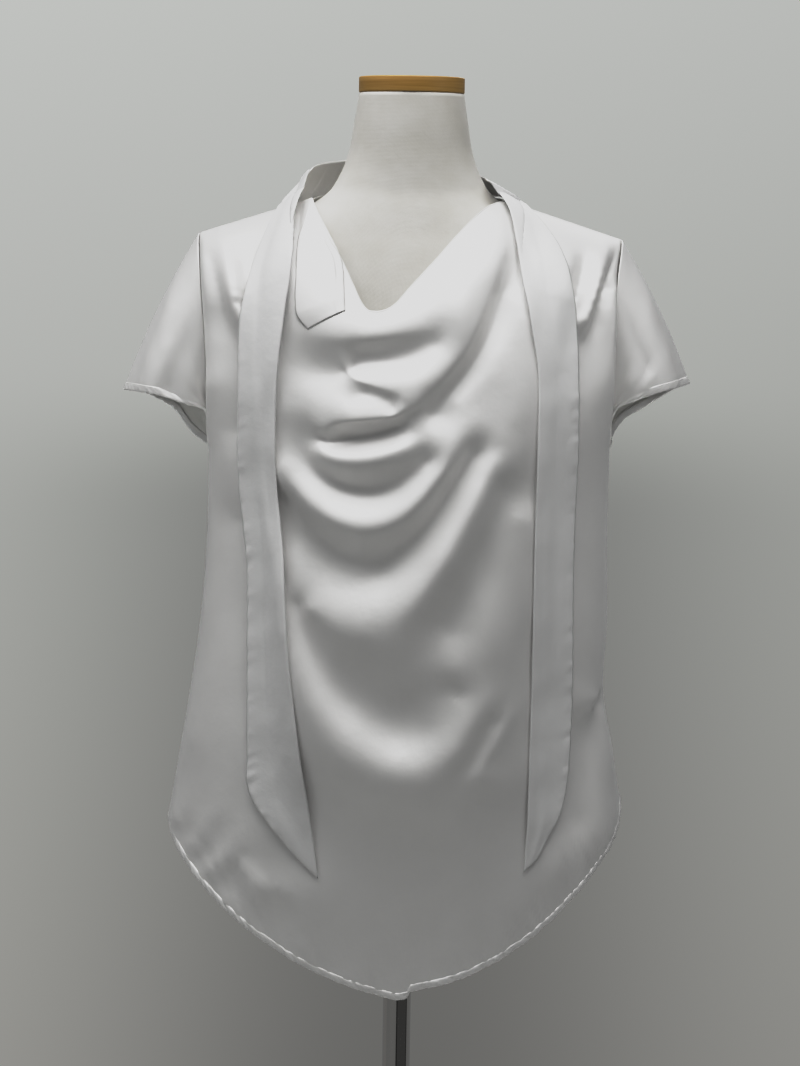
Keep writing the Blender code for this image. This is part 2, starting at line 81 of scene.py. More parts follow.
# studio: a big soft ceiling light ahead of the form, weak ones from both sides and from
# behind, and two small ones that reach up into the sleeves
lightSettings = {  # place, aim, size, power, spread in degrees
    "ceiling": ((-0.16, -0.60, 2.8), (0.0, -0.1, 1.1), (2.3, 1.0), 36.5, 180.0),
    "left": ((-2.2, -1.0, 1.9), (0.0, 0.0, 1.15), (0.9, 1.3), 1.2, 180.0),
    "right": ((2.2, -1.0, 1.9), (0.0, 0.0, 1.15), (0.9, 1.3), 3.2, 180.0),
    "rear": ((0.6, 1.9, 2.5), (0.0, 0.0, 1.2), (1.2, 0.8), 7.0, 180.0),
    "underLeft": ((-0.58, -0.50, 0.25), (-0.24, 0.0, 1.20), (0.2, 0.2), 0.035, 22.0),
    "underRight": ((0.58, -0.50, 0.25), (0.24, 0.0, 1.21), (0.2, 0.2), 0.035, 22.0),
}

for lampName, (place, aim, size, power, spread) in lightSettings.items():
    lampData = bpy.data.lights.new(lampName + "Light", "AREA")
    lampData.shape = "RECTANGLE"
    lampData.size, lampData.size_y = size
    lampData.energy = power
    lampData.spread = math.radians(spread)
    lamp = bpy.data.objects.new(lampName + "Light", lampData)
    lamp.location = place
    lamp.rotation_euler = (Vector(aim) - Vector(place)).to_track_quat("-Z", "Y").to_euler()
    scene.collection.objects.link(lamp)


def addNode(tree, kind, **inputs):
    # a node, with each input set to a value or joined to another node's output
    node = tree.nodes.new(kind)
    for name, value in inputs.items():
        socket = node.inputs[name.replace("_", " ")]
        if isinstance(value, bpy.types.NodeSocket):
            tree.links.new(value, socket)
        else:
            socket.default_value = value
    return node


def addMath(tree, kind, *values):
    # the result of one sum on values or other nodes' outputs
    node = tree.nodes.new("ShaderNodeMath")
    node.operation = kind
    for socket, value in zip(node.inputs, values):
        if isinstance(value, bpy.types.NodeSocket):
            tree.links.new(value, socket)
        else:
            socket.default_value = value
    return node.outputs[0]


def addRamp(tree, share, stops):
    # colours that change along a share from 0 to 1
    node = addNode(tree, "ShaderNodeValToRGB", Fac=share)
    elements = node.color_ramp.elements
    for stop, (at, colour) in zip((elements[0], elements[1]), (stops[0], stops[-1])):
        stop.position = at
        stop.color = (*colour, 1.0)
    for at, colour in stops[1:-1]:
        elements.new(at).color = (*colour, 1.0)
    return node.outputs["Color"]


# room: where it is seen, a wall that pales upwards, painted light for the ceiling light falling off down
# the wall; elsewhere, bright and dark things round the form, which the cloth and the chrome catch

roomSettings = {"low": (0.306, 0.303, 0.290), "middle": (0.362, 0.366, 0.354), "top": (0.475, 0.485, 0.470),
                "start": -0.30, "end": 0.08, "glow": 0.17, "tint": (0.97, 0.99, 1.0)}
thingsRound = [  # turn from -X by -Y, brightness
    (0.0, 0.9), (0.17, 0.95), (0.238, 0.9), (0.243, 0.08), (0.262, 0.08), (0.267, 0.30), (0.478, 0.30),
    (0.483, 0.05), (0.497, 0.05), (0.502, 0.8), (0.55, 0.9), (0.75, 1.0),
]
# the soft shade that the figure throws on the wall: half width, heights, depth, and its fall to the right
shadeSettings = {"wide": 0.098, "start": -0.055, "full": -0.105, "deep": 0.46, "fall": 0.35}

room = bpy.data.worlds.new("room")
scene.world = room
room.use_nodes = True
roomTree = room.node_tree
roomTree.nodes.clear()
roomPlace = addNode(roomTree, "ShaderNodeTexCoord").outputs["Generated"]
roomX, roomY, roomZ = addNode(roomTree, "ShaderNodeSeparateXYZ", Vector=roomPlace).outputs
roomRise = addNode(roomTree, "ShaderNodeMapRange", Value=roomZ,
                   From_Min=roomSettings["start"], From_Max=roomSettings["end"])
# painted light: the wall's colour runs lighter upwards, as the ceiling light falls off down the wall
wallTone = addRamp(roomTree, roomRise.outputs[0], [
    (0.0, roomSettings["low"]), (0.5, roomSettings["middle"]), (1.0, roomSettings["top"])])

shadeBeside = addMath(roomTree, "DIVIDE", roomX, shadeSettings["wide"])
shadeBeside = addMath(roomTree, "POWER", addMath(roomTree, "ABSOLUTE", shadeBeside), 2.0)
shadeBeside = addMath(roomTree, "EXPONENT", addMath(roomTree, "MULTIPLY", shadeBeside, -1.0))
shadeBelow = addNode(roomTree, "ShaderNodeMapRange", Value=roomZ,
                     From_Min=shadeSettings["start"], From_Max=shadeSettings["full"])
shadeBelow.interpolation_type = "SMOOTHSTEP"
shade = addMath(roomTree, "MULTIPLY", shadeBeside, shadeBelow.outputs[0])
shade = addMath(roomTree, "SUBTRACT", 1.0, addMath(roomTree, "MULTIPLY", shade, shadeSettings["deep"]))
shade = addMath(roomTree, "SUBTRACT", shade, addMath(roomTree, "MULTIPLY", roomX, shadeSettings["fall"]))
roomSeen = addNode(roomTree, "ShaderNodeBackground", Color=wallTone, Strength=shade)

roomTurn = addNode(roomTree, "ShaderNodeMapRange", Value=addMath(roomTree, "ARCTAN2", roomY, roomX),
                   From_Min=-math.pi, From_Max=math.pi)
thingTones = [(turn, [level * share for share in roomSettings["tint"]]) for turn, level in thingsRound]
thingTone = addRamp(roomTree, roomTurn.outputs[0], thingTones + [(1.0, (1.0, 1.0, 1.0))])
roomGlow = addNode(roomTree, "ShaderNodeBackground", Color=thingTone, Strength=roomSettings["glow"])

roomMix = addNode(roomTree, "ShaderNodeMixShader",
                  Fac=addNode(roomTree, "ShaderNodeLightPath").outputs["Is Camera Ray"])
roomTree.links.new(roomGlow.outputs[0], roomMix.inputs[1])
roomTree.links.new(roomSeen.outputs[0], roomMix.inputs[2])
addNode(roomTree, "ShaderNodeOutputWorld", Surface=roomMix.outputs[0])
print("camera, lights and room are in")


# materials

threadShape = {"Distortion": 2.2, "Detail": 2.0, "Detail_Scale": 0.35}


def threadGroup():
    # crossing threads of a woven cloth, as a height for bump
    group = bpy.data.node_groups.new("crossingThreads", "ShaderNodeTree")
    group.interface.new_socket(name="Vector", in_out="INPUT", socket_type="NodeSocketVector")
    group.interface.new_socket(name="Fineness", in_out="INPUT", socket_type="NodeSocketFloat")
    group.interface.new_socket(name="Height", in_out="OUTPUT", socket_type="NodeSocketFloat")
    entry = group.nodes.new("NodeGroupInput").outputs
    waves = []
    for direction in ("X", "Y"):
        wave = addNode(group, "ShaderNodeTexWave", **threadShape,
                       Vector=entry["Vector"], Scale=entry["Fineness"])
        wave.bands_direction = direction
        waves.append(wave.outputs["Fac"])
    addNode(group, "NodeGroupOutput", Height=addMath(group, "MAXIMUM", *waves))
    return group


crossingThreads = threadGroup()

clothColumns = ("colour", "shade", "roughness", "metallic", "specular", "sheen", "fineness", "weave", "cloud")
clothSettings = {
    "satinFace": ((0.868, 0.86, 0.848), (0.84, 0.832, 0.82), 0.48, 0.25, 0.6, 0.1, 560.0, 0.10, 0.00088),
    # satinReverse: a duller reverse; its lighter, warmer colour is painted light for light coming through the
    # thin satin
    "satinReverse": ((0.93, 0.925, 0.89), (0.88, 0.875, 0.84), 0.72, 0.0, 0.3, 0.7, 560.0, 0.15, 0.0008),
    "tieSatin": ((0.85, 0.846, 0.84), (0.825, 0.821, 0.815), 0.52, 0.10, 0.5, 0.12, 520.0, 0.14, 0.0014),
    "formLinen": ((0.68, 0.665, 0.63), (0.60, 0.583, 0.54), 0.92, 0.0, 0.2, 0.25, 262.0, 0.45, 0.0008),
    "thread": ((0.86, 0.86, 0.84), (0.80, 0.80, 0.78), 0.6, 0.0, 0.4, 0.1, 900.0, 0.2, 0.0004),
}
clothNoise = {
    "cloud": {"Scale": 24.0, "Detail": 5.0, "Roughness": 0.55},
    "fleck": {"Scale": 160.0, "Detail": 3.0, "Roughness": 0.6},
    "sheenRoughness": 0.4, "smoother": 0.03, "rougher": 0.04, "threadHeight": 0.0002,
}


def newMaterial(name, metallic):
    made = bpy.data.materials.new(name)
    made.use_nodes = True
    shader = made.node_tree.nodes["Principled BSDF"]
    shader.inputs["Metallic"].default_value = metallic
    return made, made.node_tree, shader, addNode(made.node_tree, "ShaderNodeTexCoord").outputs


def clothMaterial(name):
    # threads from the piece's own map, soft clouding and unevenness from its place
    setting = dict(zip(clothColumns, clothSettings[name]))
    made, tree, shader, place = newMaterial(name, setting["metallic"])
    shader.inputs["Specular IOR Level"].default_value = setting["specular"]
    shader.inputs["Sheen Weight"].default_value = setting["sheen"]
    shader.inputs["Sheen Roughness"].default_value = clothNoise["sheenRoughness"]
    threads = tree.nodes.new("ShaderNodeGroup")
    threads.node_tree = crossingThreads
    threads.inputs["Fineness"].default_value = setting["fineness"]
    tree.links.new(place["UV"], threads.inputs["Vector"])
    cloud = addNode(tree, "ShaderNodeTexNoise", Vector=place["Object"], **clothNoise["cloud"]).outputs["Fac"]
    fleck = addNode(tree, "ShaderNodeTexNoise", Vector=place["Object"], **clothNoise["fleck"]).outputs["Fac"]
    share = addNode(tree, "ShaderNodeMapRange", Value=cloud, From_Min=0.25, From_Max=0.7)
    tone = tree.nodes.new("ShaderNodeMix")
    tone.data_type = "RGBA"
    tree.links.new(share.outputs[0], tone.inputs[0])
    tone.inputs[6].default_value = (*setting["shade"], 1.0)
    tone.inputs[7].default_value = (*setting["colour"], 1.0)
    polish = addNode(tree, "ShaderNodeMapRange", Value=fleck, From_Min=0.3, From_Max=0.7,
                     To_Min=setting["roughness"] - clothNoise["smoother"],
                     To_Max=setting["roughness"] + clothNoise["rougher"])
    clouding = addNode(tree, "ShaderNodeBump", Strength=1.0, Distance=setting["cloud"], Height=cloud)
    weave = addNode(tree, "ShaderNodeBump", Strength=setting["weave"], Distance=clothNoise["threadHeight"],
                    Height=threads.outputs["Height"], Normal=clouding.outputs[0])
    tree.links.new(tone.outputs[2], shader.inputs["Base Color"])
    tree.links.new(polish.outputs[0], shader.inputs["Roughness"])
    tree.links.new(weave.outputs[0], shader.inputs["Normal"])
    return made


def grainMaterial(name, light, dark, stretch, roughness, metallic, depth):
    # streaks along one direction: sawn wood or drawn metal
    made, tree, shader, place = newMaterial(name, metallic)
    mapping = addNode(tree, "ShaderNodeMapping", Vector=place["Object"], Scale=stretch)
    streaks = addNode(tree, "ShaderNodeTexNoise", Vector=mapping.outputs[0], Scale=1.0, Detail=6.0,
                      Roughness=0.65, Distortion=0.3).outputs["Fac"]
    blots = addNode(tree, "ShaderNodeTexNoise", Vector=place["Object"], Scale=30.0, Detail=3.0).outputs["Fac"]
    polish = addNode(tree, "ShaderNodeMapRange", Value=blots, From_Min=0.3, From_Max=0.7,
                     To_Min=roughness * 0.8, To_Max=roughness * 1.25)
    bump = addNode(tree, "ShaderNodeBump", Strength=0.5, Distance=depth, Height=streaks)
    tree.links.new(addRamp(tree, streaks, [(0.32, dark), (0.68, light)]), shader.inputs["Base Color"])
    tree.links.new(polish.outputs[0], shader.inputs["Roughness"])
    tree.links.new(bump.outputs[0], shader.inputs["Normal"])
    return made


satinFace, satinReverse, tieSatin, formLinen, seamThread = [clothMaterial(name) for name in clothSettings]
capWood = grainMaterial(
    "capWood", (0.50, 0.31, 0.095), (0.33, 0.185, 0.045), (9.0, 9.0, 420.0), 0.42, 0.0, 0.0003)
poleChrome = grainMaterial(
    "poleChrome", (0.80, 0.775, 0.74), (0.77, 0.746, 0.712), (900.0, 900.0, 6.0), 0.07, 1.0, 0.00001)
baseSteel = grainMaterial(
    "baseSteel", (0.60, 0.61, 0.62), (0.50, 0.51, 0.52), (8.0, 700.0, 700.0), 0.30, 1.0, 0.00003)
print("materials are made")


# the blouse's form: the same tables as the solids, read on smooth curves

form = {
    "shoulderTop": 1.434, "shoulderFall": 0.32, "neckPoint": 0.085, "shoulderRoll": 0.075,
    "armholeMiddle": 1.273, "armholeHeight": 0.097, "armholeDepth": 0.058,
    "underarm": 1.12, "underarmRise": 0.13, "armholeGrip": 5,
    "neckReach": 0.100, "neckFront": 0.060, "neckBack": 0.074, "neckBackDip": 0.006,
    "hemLow": 0.677, "hemSideLeft": 0.817, "hemSideRight": 0.834, "hemBackLow": 0.684, "hemRound": 0.7,
    "seam": 0.0003, "cloth": 0.0008, "sectionPower": 2.3, "spreadTop": 1.30, "spreadFade": 0.15,
}
bodySections = np.array([  # height, half width left and right, depth front and back
    (0.66, 0.226, 0.217, 0.146, 0.138),
    (0.817, 0.221, 0.213, 0.146, 0.138),
    (0.882, 0.211, 0.203, 0.147, 0.138),
    (0.945, 0.201, 0.192, 0.149, 0.137),
    (1.005, 0.193, 0.194, 0.15, 0.133),
    (1.095, 0.187, 0.192, 0.151, 0.128),
    (1.165, 0.186, 0.192, 0.149, 0.126),
    (1.225, 0.186, 0.19, 0.14, 0.127),
    (1.285, 0.189, 0.192, 0.125, 0.124),
    (1.335, 0.194, 0.194, 0.106, 0.114),
    (1.372, 0.198, 0.2, 0.09, 0.104),
    (1.41, 0.2, 0.202, 0.078, 0.092),
])
neckline = np.array([
    (-0.091, 1.4049), (-0.08, 1.384), (-0.064, 1.355), (-0.0515, 1.33), (-0.0424, 1.311), (-0.0375, 1.3042),
    (-0.03, 1.302), (-0.022, 1.303), (-0.0145, 1.307), (0.001, 1.325), (0.0225, 1.3485), (0.049, 1.379),
    (0.072, 1.4), (0.089, 1.4055),
])
torsoRings = np.array([  # height, half width, depth front and back
    (0.774, 0.142, 0.098, 0.104), (0.782, 0.152, 0.106, 0.112), (0.81, 0.159, 0.112, 0.119),
    (0.86, 0.163, 0.114, 0.122), (0.93, 0.151, 0.106, 0.108), (1.0, 0.126, 0.094, 0.084),
    (1.05, 0.127, 0.098, 0.082), (1.1, 0.139, 0.112, 0.09), (1.15, 0.148, 0.125, 0.099),
    (1.2, 0.151, 0.12, 0.105), (1.25, 0.154, 0.104, 0.108), (1.3, 0.16, 0.09, 0.105),
    (1.34, 0.166, 0.077, 0.095), (1.362, 0.166, 0.069, 0.086), (1.372, 0.158, 0.065, 0.081),
    (1.384, 0.131, 0.061, 0.075), (1.397, 0.096, 0.057, 0.069), (1.41, 0.077, 0.053, 0.064),
    (1.425, 0.067, 0.051, 0.059), (1.445, 0.059, 0.05, 0.055), (1.475, 0.0535, 0.0495, 0.0515),
    (1.503, 0.049, 0.0485, 0.0485),
])
torsoPower = 2.1


def smoothStep(value):
    t = np.clip(value, 0.0, 1.0)
    return t * t * (3.0 - 2.0 * t)


def readTable(table, column, at, key=0):
    # a column of a table at any value of its key column, on a smooth curve
    order = np.argsort(table[:, key])
    keys = table[order, key]
    values = table[order, column]
    slopes = np.gradient(values, keys)
    at = np.clip(np.asarray(at, float), keys[0], keys[-1])
    i = np.clip(np.searchsorted(keys, at) - 1, 0, len(keys) - 2)
    step = keys[i + 1] - keys[i]
    t = (at - keys[i]) / step
    start = (1.0 + 2.0 * t) * (1.0 - t) ** 2 * values[i] + t * (1.0 - t) ** 2 * step * slopes[i]
    end = t * t * (3.0 - 2.0 * t) * values[i + 1] + t * t * (t - 1.0) * step * slopes[i + 1]
    return start + end


def curveThrough(points, step):
    # points of any size, joined by one smooth curve, with a point about every step
    points = np.asarray(points, float)
    gaps = np.linalg.norm(np.diff(points[:, :2], axis=0), axis=1)
    run = np.concatenate([[0.0], np.cumsum(gaps)])
    at = np.linspace(0.0, run[-1], max(3, int(run[-1] / step) + 1))
    table = np.column_stack([run, points])
    return np.column_stack([readTable(table, i + 1, at) for i in range(points.shape[1])])


def shoulderHeight(x):
    return form["shoulderTop"] - form["shoulderFall"] * np.maximum(np.abs(x), form["neckPoint"])


def halfWidth(x, height):
    left = readTable(bodySections, 1, height)
    right = readTable(bodySections, 2, height)
    return np.where(np.asarray(x) < 0.0, left, right)


def armholeReach(height):
    up = (np.asarray(height) - form["armholeMiddle"]) / form["armholeHeight"]
    return form["armholeDepth"] * np.sqrt(np.clip(1.0 - up * up, 0.0, 1.0))


def panelDepth(x, height, front):
    neck = form["neckFront"] if front else form["neckBack"]
    power = form["sectionPower"]
    out = np.clip(np.abs(x) / halfWidth(x, height), 0.0, 1.0)
    share = (1.0 - out**power) ** (1.0 / power)
    soft = form["armholeDepth"] * smoothStep((height - form["underarm"]) / form["underarmRise"])
    full = soft + (readTable(bodySections, 3 if front else 4, height) - soft) * share
    full = full + (armholeReach(height) - soft) * (1.0 - share) ** form["armholeGrip"]
    drop = np.clip((shoulderHeight(x) - height) / form["shoulderRoll"], 0.0, 1.0)
    turn = np.sqrt(1.0 - (1.0 - drop) ** 2)
    start = neck * np.sqrt(np.clip(1.0 - (x / form["neckReach"]) ** 2, 0.0, 1.0))
    return start + (full - start) * turn


def torsoDepth(x, height, front):
    # how far the padded body reaches; far below zero beside it
    half = readTable(torsoRings, 1, height)
    depth = readTable(torsoRings, 2 if front else 3, height)
    out = np.abs(x) / half
    reach = depth * (1.0 - np.clip(out, 0.0, 1.0) ** torsoPower) ** (1.0 / torsoPower)
    inside = (out < 1.0) & (height > torsoRings[0, 0])
    return np.where(inside, reach, -1.0)


def acrossToX(across, height):
    low = smoothStep((form["spreadTop"] - height) / form["spreadFade"])
    size = np.abs(across)
    share = size * (1.0 - low) + np.sin(size * math.pi / 2.0) * low
    return np.sign(across) * share * halfWidth(across, height)


def frontEdge(x):
    inside = (x > neckline[0, 0]) & (x < neckline[-1, 0])
    return np.where(inside, readTable(neckline, 1, x), shoulderHeight(x))


def backEdge(x):
    return shoulderHeight(x) - form["neckBackDip"] * (1.0 - smoothStep(np.abs(x) / form["neckPoint"]))


def hemHeight(across, low):
    side = np.where(across < 0.0, form["hemSideLeft"], form["hemSideRight"])
    size = np.abs(across)
    share = form["hemRound"] * (1.0 - np.cos(math.pi * size)) / 2.0 + (1.0 - form["hemRound"]) * size
    return low + (side - low) * share


def softNoise(u, v, size, seed):
    # smooth unevenness about size long, from -1 to 1, the same each run
    spread = np.random.default_rng(seed)
    total = np.zeros(np.broadcast(u, v).shape)
    for _ in range(9):
        turn, phase = spread.uniform(0.0, 2.0 * math.pi, 2)
        pitch = spread.uniform(0.55, 1.5) * 2.0 * math.pi / size
        total = total + np.sin(pitch * (u * math.cos(turn) + v * math.sin(turn)) + phase)
    return total / 4.5


def bell(away, spread):
    # 1 on a line and fading to nothing beside it
    return np.exp(-((away / spread) ** 2))


# folds: lines of crests and hollows, in millimetres across, up and out of the smooth form

frontFolds = {
    "neckEdge": [(-90, 1403, 0), (-80, 1383, 0), (-70, 1364, 0), (-60, 1345, 0), (-50, 1324, 1),
        (-40, 1306, 3), (-29, 1302, 5), (-18, 1305, 5), (-8, 1312, 4), (8, 1331, 2), (24, 1349, 1),
        (45, 1374, 0), (76, 1403, 0)],
    "leftArmStrip": [(-186, 1344, 1), (-183, 1319, -1), (-181, 1292, -3), (-179, 1269, -1)],
    "pocketEnd": [(5, 1206, 5), (9, 1203, 5)],
    "capThree": [(84, 1193, 8), (95, 1209, 7)],
    "streakFour": [(77, 897, 15), (90, 920, 12), (106, 946, 7.5)],
    "rollCrest": [(-87, 1280, 9), (-70, 1279, 11), (-43, 1278, 12), (-12, 1281, 12), (15, 1284, 12)],
    "ridgeRight": [(84, 1360, 5), (79, 1339, 7), (72, 1316, 9), (62, 1290, 12), (51, 1268, 13),
        (36, 1248, 13), (21, 1231, 13), (10, 1222, 13)],
    "creaseRight": [(91, 1349, 0), (87, 1327, -2), (80, 1306, -2.5), (72, 1282, -2.5), (59, 1260, -2),
        (44, 1240, -1.5), (31, 1224, -0.5), (21, 1214, 0.5)],
    "rightNext": [(96, 1316, 1), (88, 1293, 1), (77, 1269, 1.5), (62, 1245, 1.5), (44, 1223, 2)],
    "rightPlain": [(104, 1298, 4), (95, 1271, 4.5), (80, 1244, 5), (62, 1222, 4.5)],
    "hollowUnderRoll": [(-104, 1252, 1), (-86, 1249, 0), (-68, 1250, -1), (-54, 1252, -1), (-36, 1257, -1),
        (-14, 1261, 0), (7, 1267, 3), (26, 1273, 8)],
    "pleatEdge": [(-57, 1252, 1), (-48, 1245, 4), (-37, 1240, 8), (-24, 1235, 11), (-9, 1229, 13),
        (2, 1224, 14)],
    "pleatUnder": [(-37, 1230, 4), (-28, 1227, 6.5), (-17, 1222, 8), (-4, 1215, 10)],
    "layerUnder": [(-106, 1228, 2), (-87, 1233, 3), (-68, 1235, 3), (-49, 1223, 6)],
    "pocketEdge": [(-76, 1196, 6), (-69, 1201, 8), (-55, 1205, 10), (-27, 1208, 12), (-6, 1211, 12),
        (3, 1217, 12)],
    "pocketRoof": [(-71, 1191, 2), (-58, 1197, 1), (-27, 1200, 0), (-8, 1204, 1)],
    "pocketBottom": [(-75, 1188, -1), (-60, 1186, -3), (-33, 1190, -3), (-15, 1194, -2), (-4, 1198, 0)],
    "lipCrest": [(-76, 1180, 5), (-61, 1175, 9), (-37, 1176, 12), (-12, 1181, 11), (11, 1186, 7)],
    "armHollow": [(-111, 1196, 0), (-100, 1180, -1), (-87, 1165, -1), (-73, 1151, -1), (-54, 1142, -1),
        (-35, 1139, -1), (-12, 1144, 0), (6, 1155, 1), (22, 1171, 2)],
    "swagTwo": [(-109, 1162, 6), (-84, 1132, 11), (-58, 1117, 14), (-31, 1112, 15), (-9, 1116, 14),
        (9, 1131, 12), (27, 1153, 10), (43, 1178, 9), (57, 1200, 7)],
    "valleyTwo": [(-107, 1135, 0), (-88, 1109, 0), (-58, 1086, 0), (-23, 1067, 0), (7, 1092, -1),
        (31, 1124, -2), (50, 1156, -2), (64, 1178, 0)],
    "swagThree": [(-81, 1035, 12), (-68, 1023, 15), (-50, 1014, 18), (-27, 1011, 20), (-3, 1030, 20),
        (17, 1057, 19), (35, 1088, 17), (50, 1120, 14), (65, 1150, 11), (75, 1171, 9)],
    "valleyThree": [(88, 1147, 2), (80, 1115, 2), (66, 1082, 3), (52, 1050, 4), (39, 1019, 6)],
    "rightRise": [(101, 1118, 5), (92, 1073, 7), (80, 1037, 10), (66, 1002, 13), (47, 984, 14)],
    "smallCrease": [(8, 969, 12), (25, 963, 10), (48, 961, 11)],
    "aboveCrescent": [(-95, 1039, 7), (-83, 1002, 10), (-67, 970, 12), (-47, 946, 12), (-23, 928, 12),
        (2, 918, 12), (24, 924, 12), (38, 943, 13), (49, 965, 12)],
    "crescent": [(-108, 1078, 5), (-102, 1043, 10), (-93, 1000, 16), (-78, 960, 21), (-57, 930, 24),
        (-30, 906, 26), (2, 890, 26), (28, 892, 25), (47, 905, 23), (58, 925, 20), (68, 945, 17),
        (79, 965, 14)],
    "streakTwo": [(55, 887, 18), (69, 908, 14.5), (83, 935, 11)],
    "streakThree": [(65, 886, 18.5), (79, 910, 15.5), (93, 936, 12)],
    "belowCrescent": [(-82, 869, 9), (-50, 853, 14), (0, 836, 14), (50, 847, 14), (91, 871, 10)],
    "leftShoulder": [(-176, 1377, 2.5), (-166, 1354, 4), (-157, 1325, 4), (-153, 1295, 3)],
    "leftTieCrease": [(-148, 1367, -1), (-152, 1351, -4), (-151, 1325, -4), (-151, 1307, -2)],
    "leftArmCrease": [(-190, 1361, 2), (-183, 1344, 0), (-175, 1319, -3), (-168, 1292, -5.5),
        (-161, 1265, -5.5), (-156, 1229, -4.5), (-154, 1193, -3.5)],
    "leftSideRidge": [(-178, 1233, 3.5), (-177, 1191, 5), (-181, 1104, 3), (-184, 992, 3), (-192, 899, 3)],
    "leftTieHollow": [(-152, 1109, -3), (-150, 999, -2), (-146, 917, -1)],
    "rightArmCrease": [(200, 1367, -1), (193, 1355, -4), (183, 1334, -6), (170, 1298, -6), (161, 1273, -5),
        (155, 1253, -3)],
    "rightShoulderRidge": [(182, 1354, 4), (172, 1325, 6), (162, 1296, 5)],
    "rightSmallCrease": [(161, 1350, -1), (157, 1330, -4), (152, 1310, -4)],
    "rightShoulderRise": [(139, 1370, 3), (149, 1352, 4), (145, 1325, 3)],
    "rightSideRidge": [(187, 1325, 2), (183, 1280, 3), (178, 1244, 5), (174, 1150, 4), (175, 1038, 3),
        (180, 942, 3)],
    "rightPucker": [(193, 948, 3), (196, 932, 4), (193, 902, 3), (186, 850, 3), (174, 797, 2)],
    "rightPuckerHollow": [(182, 941, -2), (178, 888, -2), (170, 834, -2)],
    "pleatOneUp": [(-210, 820, 1.6), (-198, 849, 0.6)],
    "pleatOneDown": [(-201, 810, -0.8), (-187, 843, 0)],
    "pleatTwoUp": [(-193, 800, 2), (-175, 837, 0.8)],
    "pleatTwoDown": [(-183, 790, -0.8), (-163, 826, 0)],
    "pleatThreeUp": [(-174, 783, 2), (-151, 816, 0.8)],
    "pleatThreeDown": [(-163, 773, -0.8), (-138, 807, 0)],
    "tailCreaseUp": [(-155, 794, 1.5), (-126, 780, 3), (-98, 760, 4), (-86, 728, 3)],
    "tailCreaseDown": [(-147, 798, 0.8), (-113, 772, 2.2), (-82, 723, 2.2)],
    "lowLeft": [(-49, 768, 7), (-39, 721, 4)],
    "lowMiddle": [(9, 769, 5), (10, 721, 1)],
    "lowRight": [(74, 787, 5), (75, 730, 2)],
    "underTieLeft": [(-130, 1340, 1), (-132, 1240, 1), (-130, 1140, 1), (-126, 1040, 0), (-120, 900, 0)],
    "underTieRight": [(122, 1340, 1), (134, 1250, 1), (134, 1150, 1), (134, 1040, 0), (134, 900, 0)],
}
frontLeans = {  # how a crest hangs over the hollow beside it: reach, across, up
    "pocketEdge": (7.0, 0.0, -5.5),
    "rollCrest": (9.0, 0.0, -3.0),
    "ridgeRight": (8.0, 3.0, -2.5),
    "pleatEdge": (6.0, -2.0, -3.5),
}
backFolds = {
    "yokeLeft": [(-120, 1375, 2), (-100, 1330, 4), (-70, 1290, 4), (-30, 1265, 3)],
    "yokeRight": [(130, 1370, 2), (110, 1320, 4), (60, 1280, 4), (20, 1262, 3)],
    "yokeHollow": [(-90, 1290, -2), (0, 1235, -3), (80, 1270, -2)],
    "bladeLeft": [(-150, 1300, 3), (-132, 1200, 5), (-105, 1110, 4), (-90, 1000, 3)],
    "bladeRight": [(158, 1290, 3), (128, 1210, 5), (98, 1120, 4), (92, 1010, 3)],
    "spine": [(4, 1180, -3), (-2, 1090, -5), (6, 1010, -4), (0, 930, -2)],
    "waistLeft": [(-176, 1080, -3), (-152, 1057, -3), (-128, 1050, -1)],
    "waistRight": [(178, 1070, -3), (150, 1046, -3), (126, 1041, -1)],
    "tailLeft": [(-120, 940, 3), (-128, 840, 5), (-122, 770, 4)],
    "tailMiddle": [(10, 900, 3), (4, 800, 5), (6, 700, 4)],
    "tailRight": [(130, 930, 3), (126, 830, 5), (118, 765, 4)],
    "tailHollowLeft": [(-66, 920, -2), (-62, 820, -4), (-60, 730, -3)],
    "tailHollowRight": [(72, 910, -2), (66, 810, -4), (62, 730, -3)],
    "sideLeft": [(-178, 980, 2), (-190, 900, 3), (-196, 850, 3)],
    "sideRight": [(180, 990, 2), (184, 905, 3), (190, 860, 3)],
}
stillPlaces = {  # where a panel keeps to its form
    "shoulderLeft": [(-200, 1370, 0), (-150, 1386, 0), (-95, 1403, 0)],
    "shoulderRight": [(202, 1369, 0), (150, 1386, 0), (92, 1404, 0)],
    "sideLeft": [(-190, 1180, 0), (-187, 1095, 0), (-194, 1005, 0), (-213, 880, 0), (-221, 817, 0)],
    "sideRight": [(193, 1180, 0), (192, 1095, 0), (194, 1005, 0), (205, 880, 0), (213, 834, 0)],
    "hem": [(-170, 760, 1), (-100, 705, -1), (-20, 679, 1), (60, 690, -1), (130, 728, 1), (190, 790, 0)],
}

plateSettings = {"along": 9.0, "apart": 3.0, "ease": 2e-5, "unit": 100.0}


def leanShift(name):
    across, up = frontLeans[name][1:] if name in frontLeans else (0.0, 0.0)
    return np.array([across, up, 0.0])


def thinPlate(folds):
    # one smooth surface through every crest and hollow
    lines = []
    for name, line in folds.items():
        lines.append(curveThrough(np.array(line, float) - leanShift(name), plateSettings["along"]))
    known = np.concatenate(lines)
    cells = np.round(known[:, :2] / plateSettings["apart"])
    known = known[np.unique(cells, axis=0, return_index=True)[1]]
    places = known[:, :2] / plateSettings["unit"]
    gap = np.linalg.norm(places[:, None] - places[None], axis=-1) + 1e-12
    count = len(known)
    flat = np.column_stack([np.ones(count), places])
    system = np.zeros((count + 3, count + 3))
    system[:count, :count] = gap**2 * np.log(gap) + plateSettings["ease"] * np.eye(count)
    system[:count, count:] = flat
    system[count:, :count] = flat.T
    answer = np.linalg.solve(system, np.concatenate([known[:, 2], np.zeros(3)]))
    return places, answer


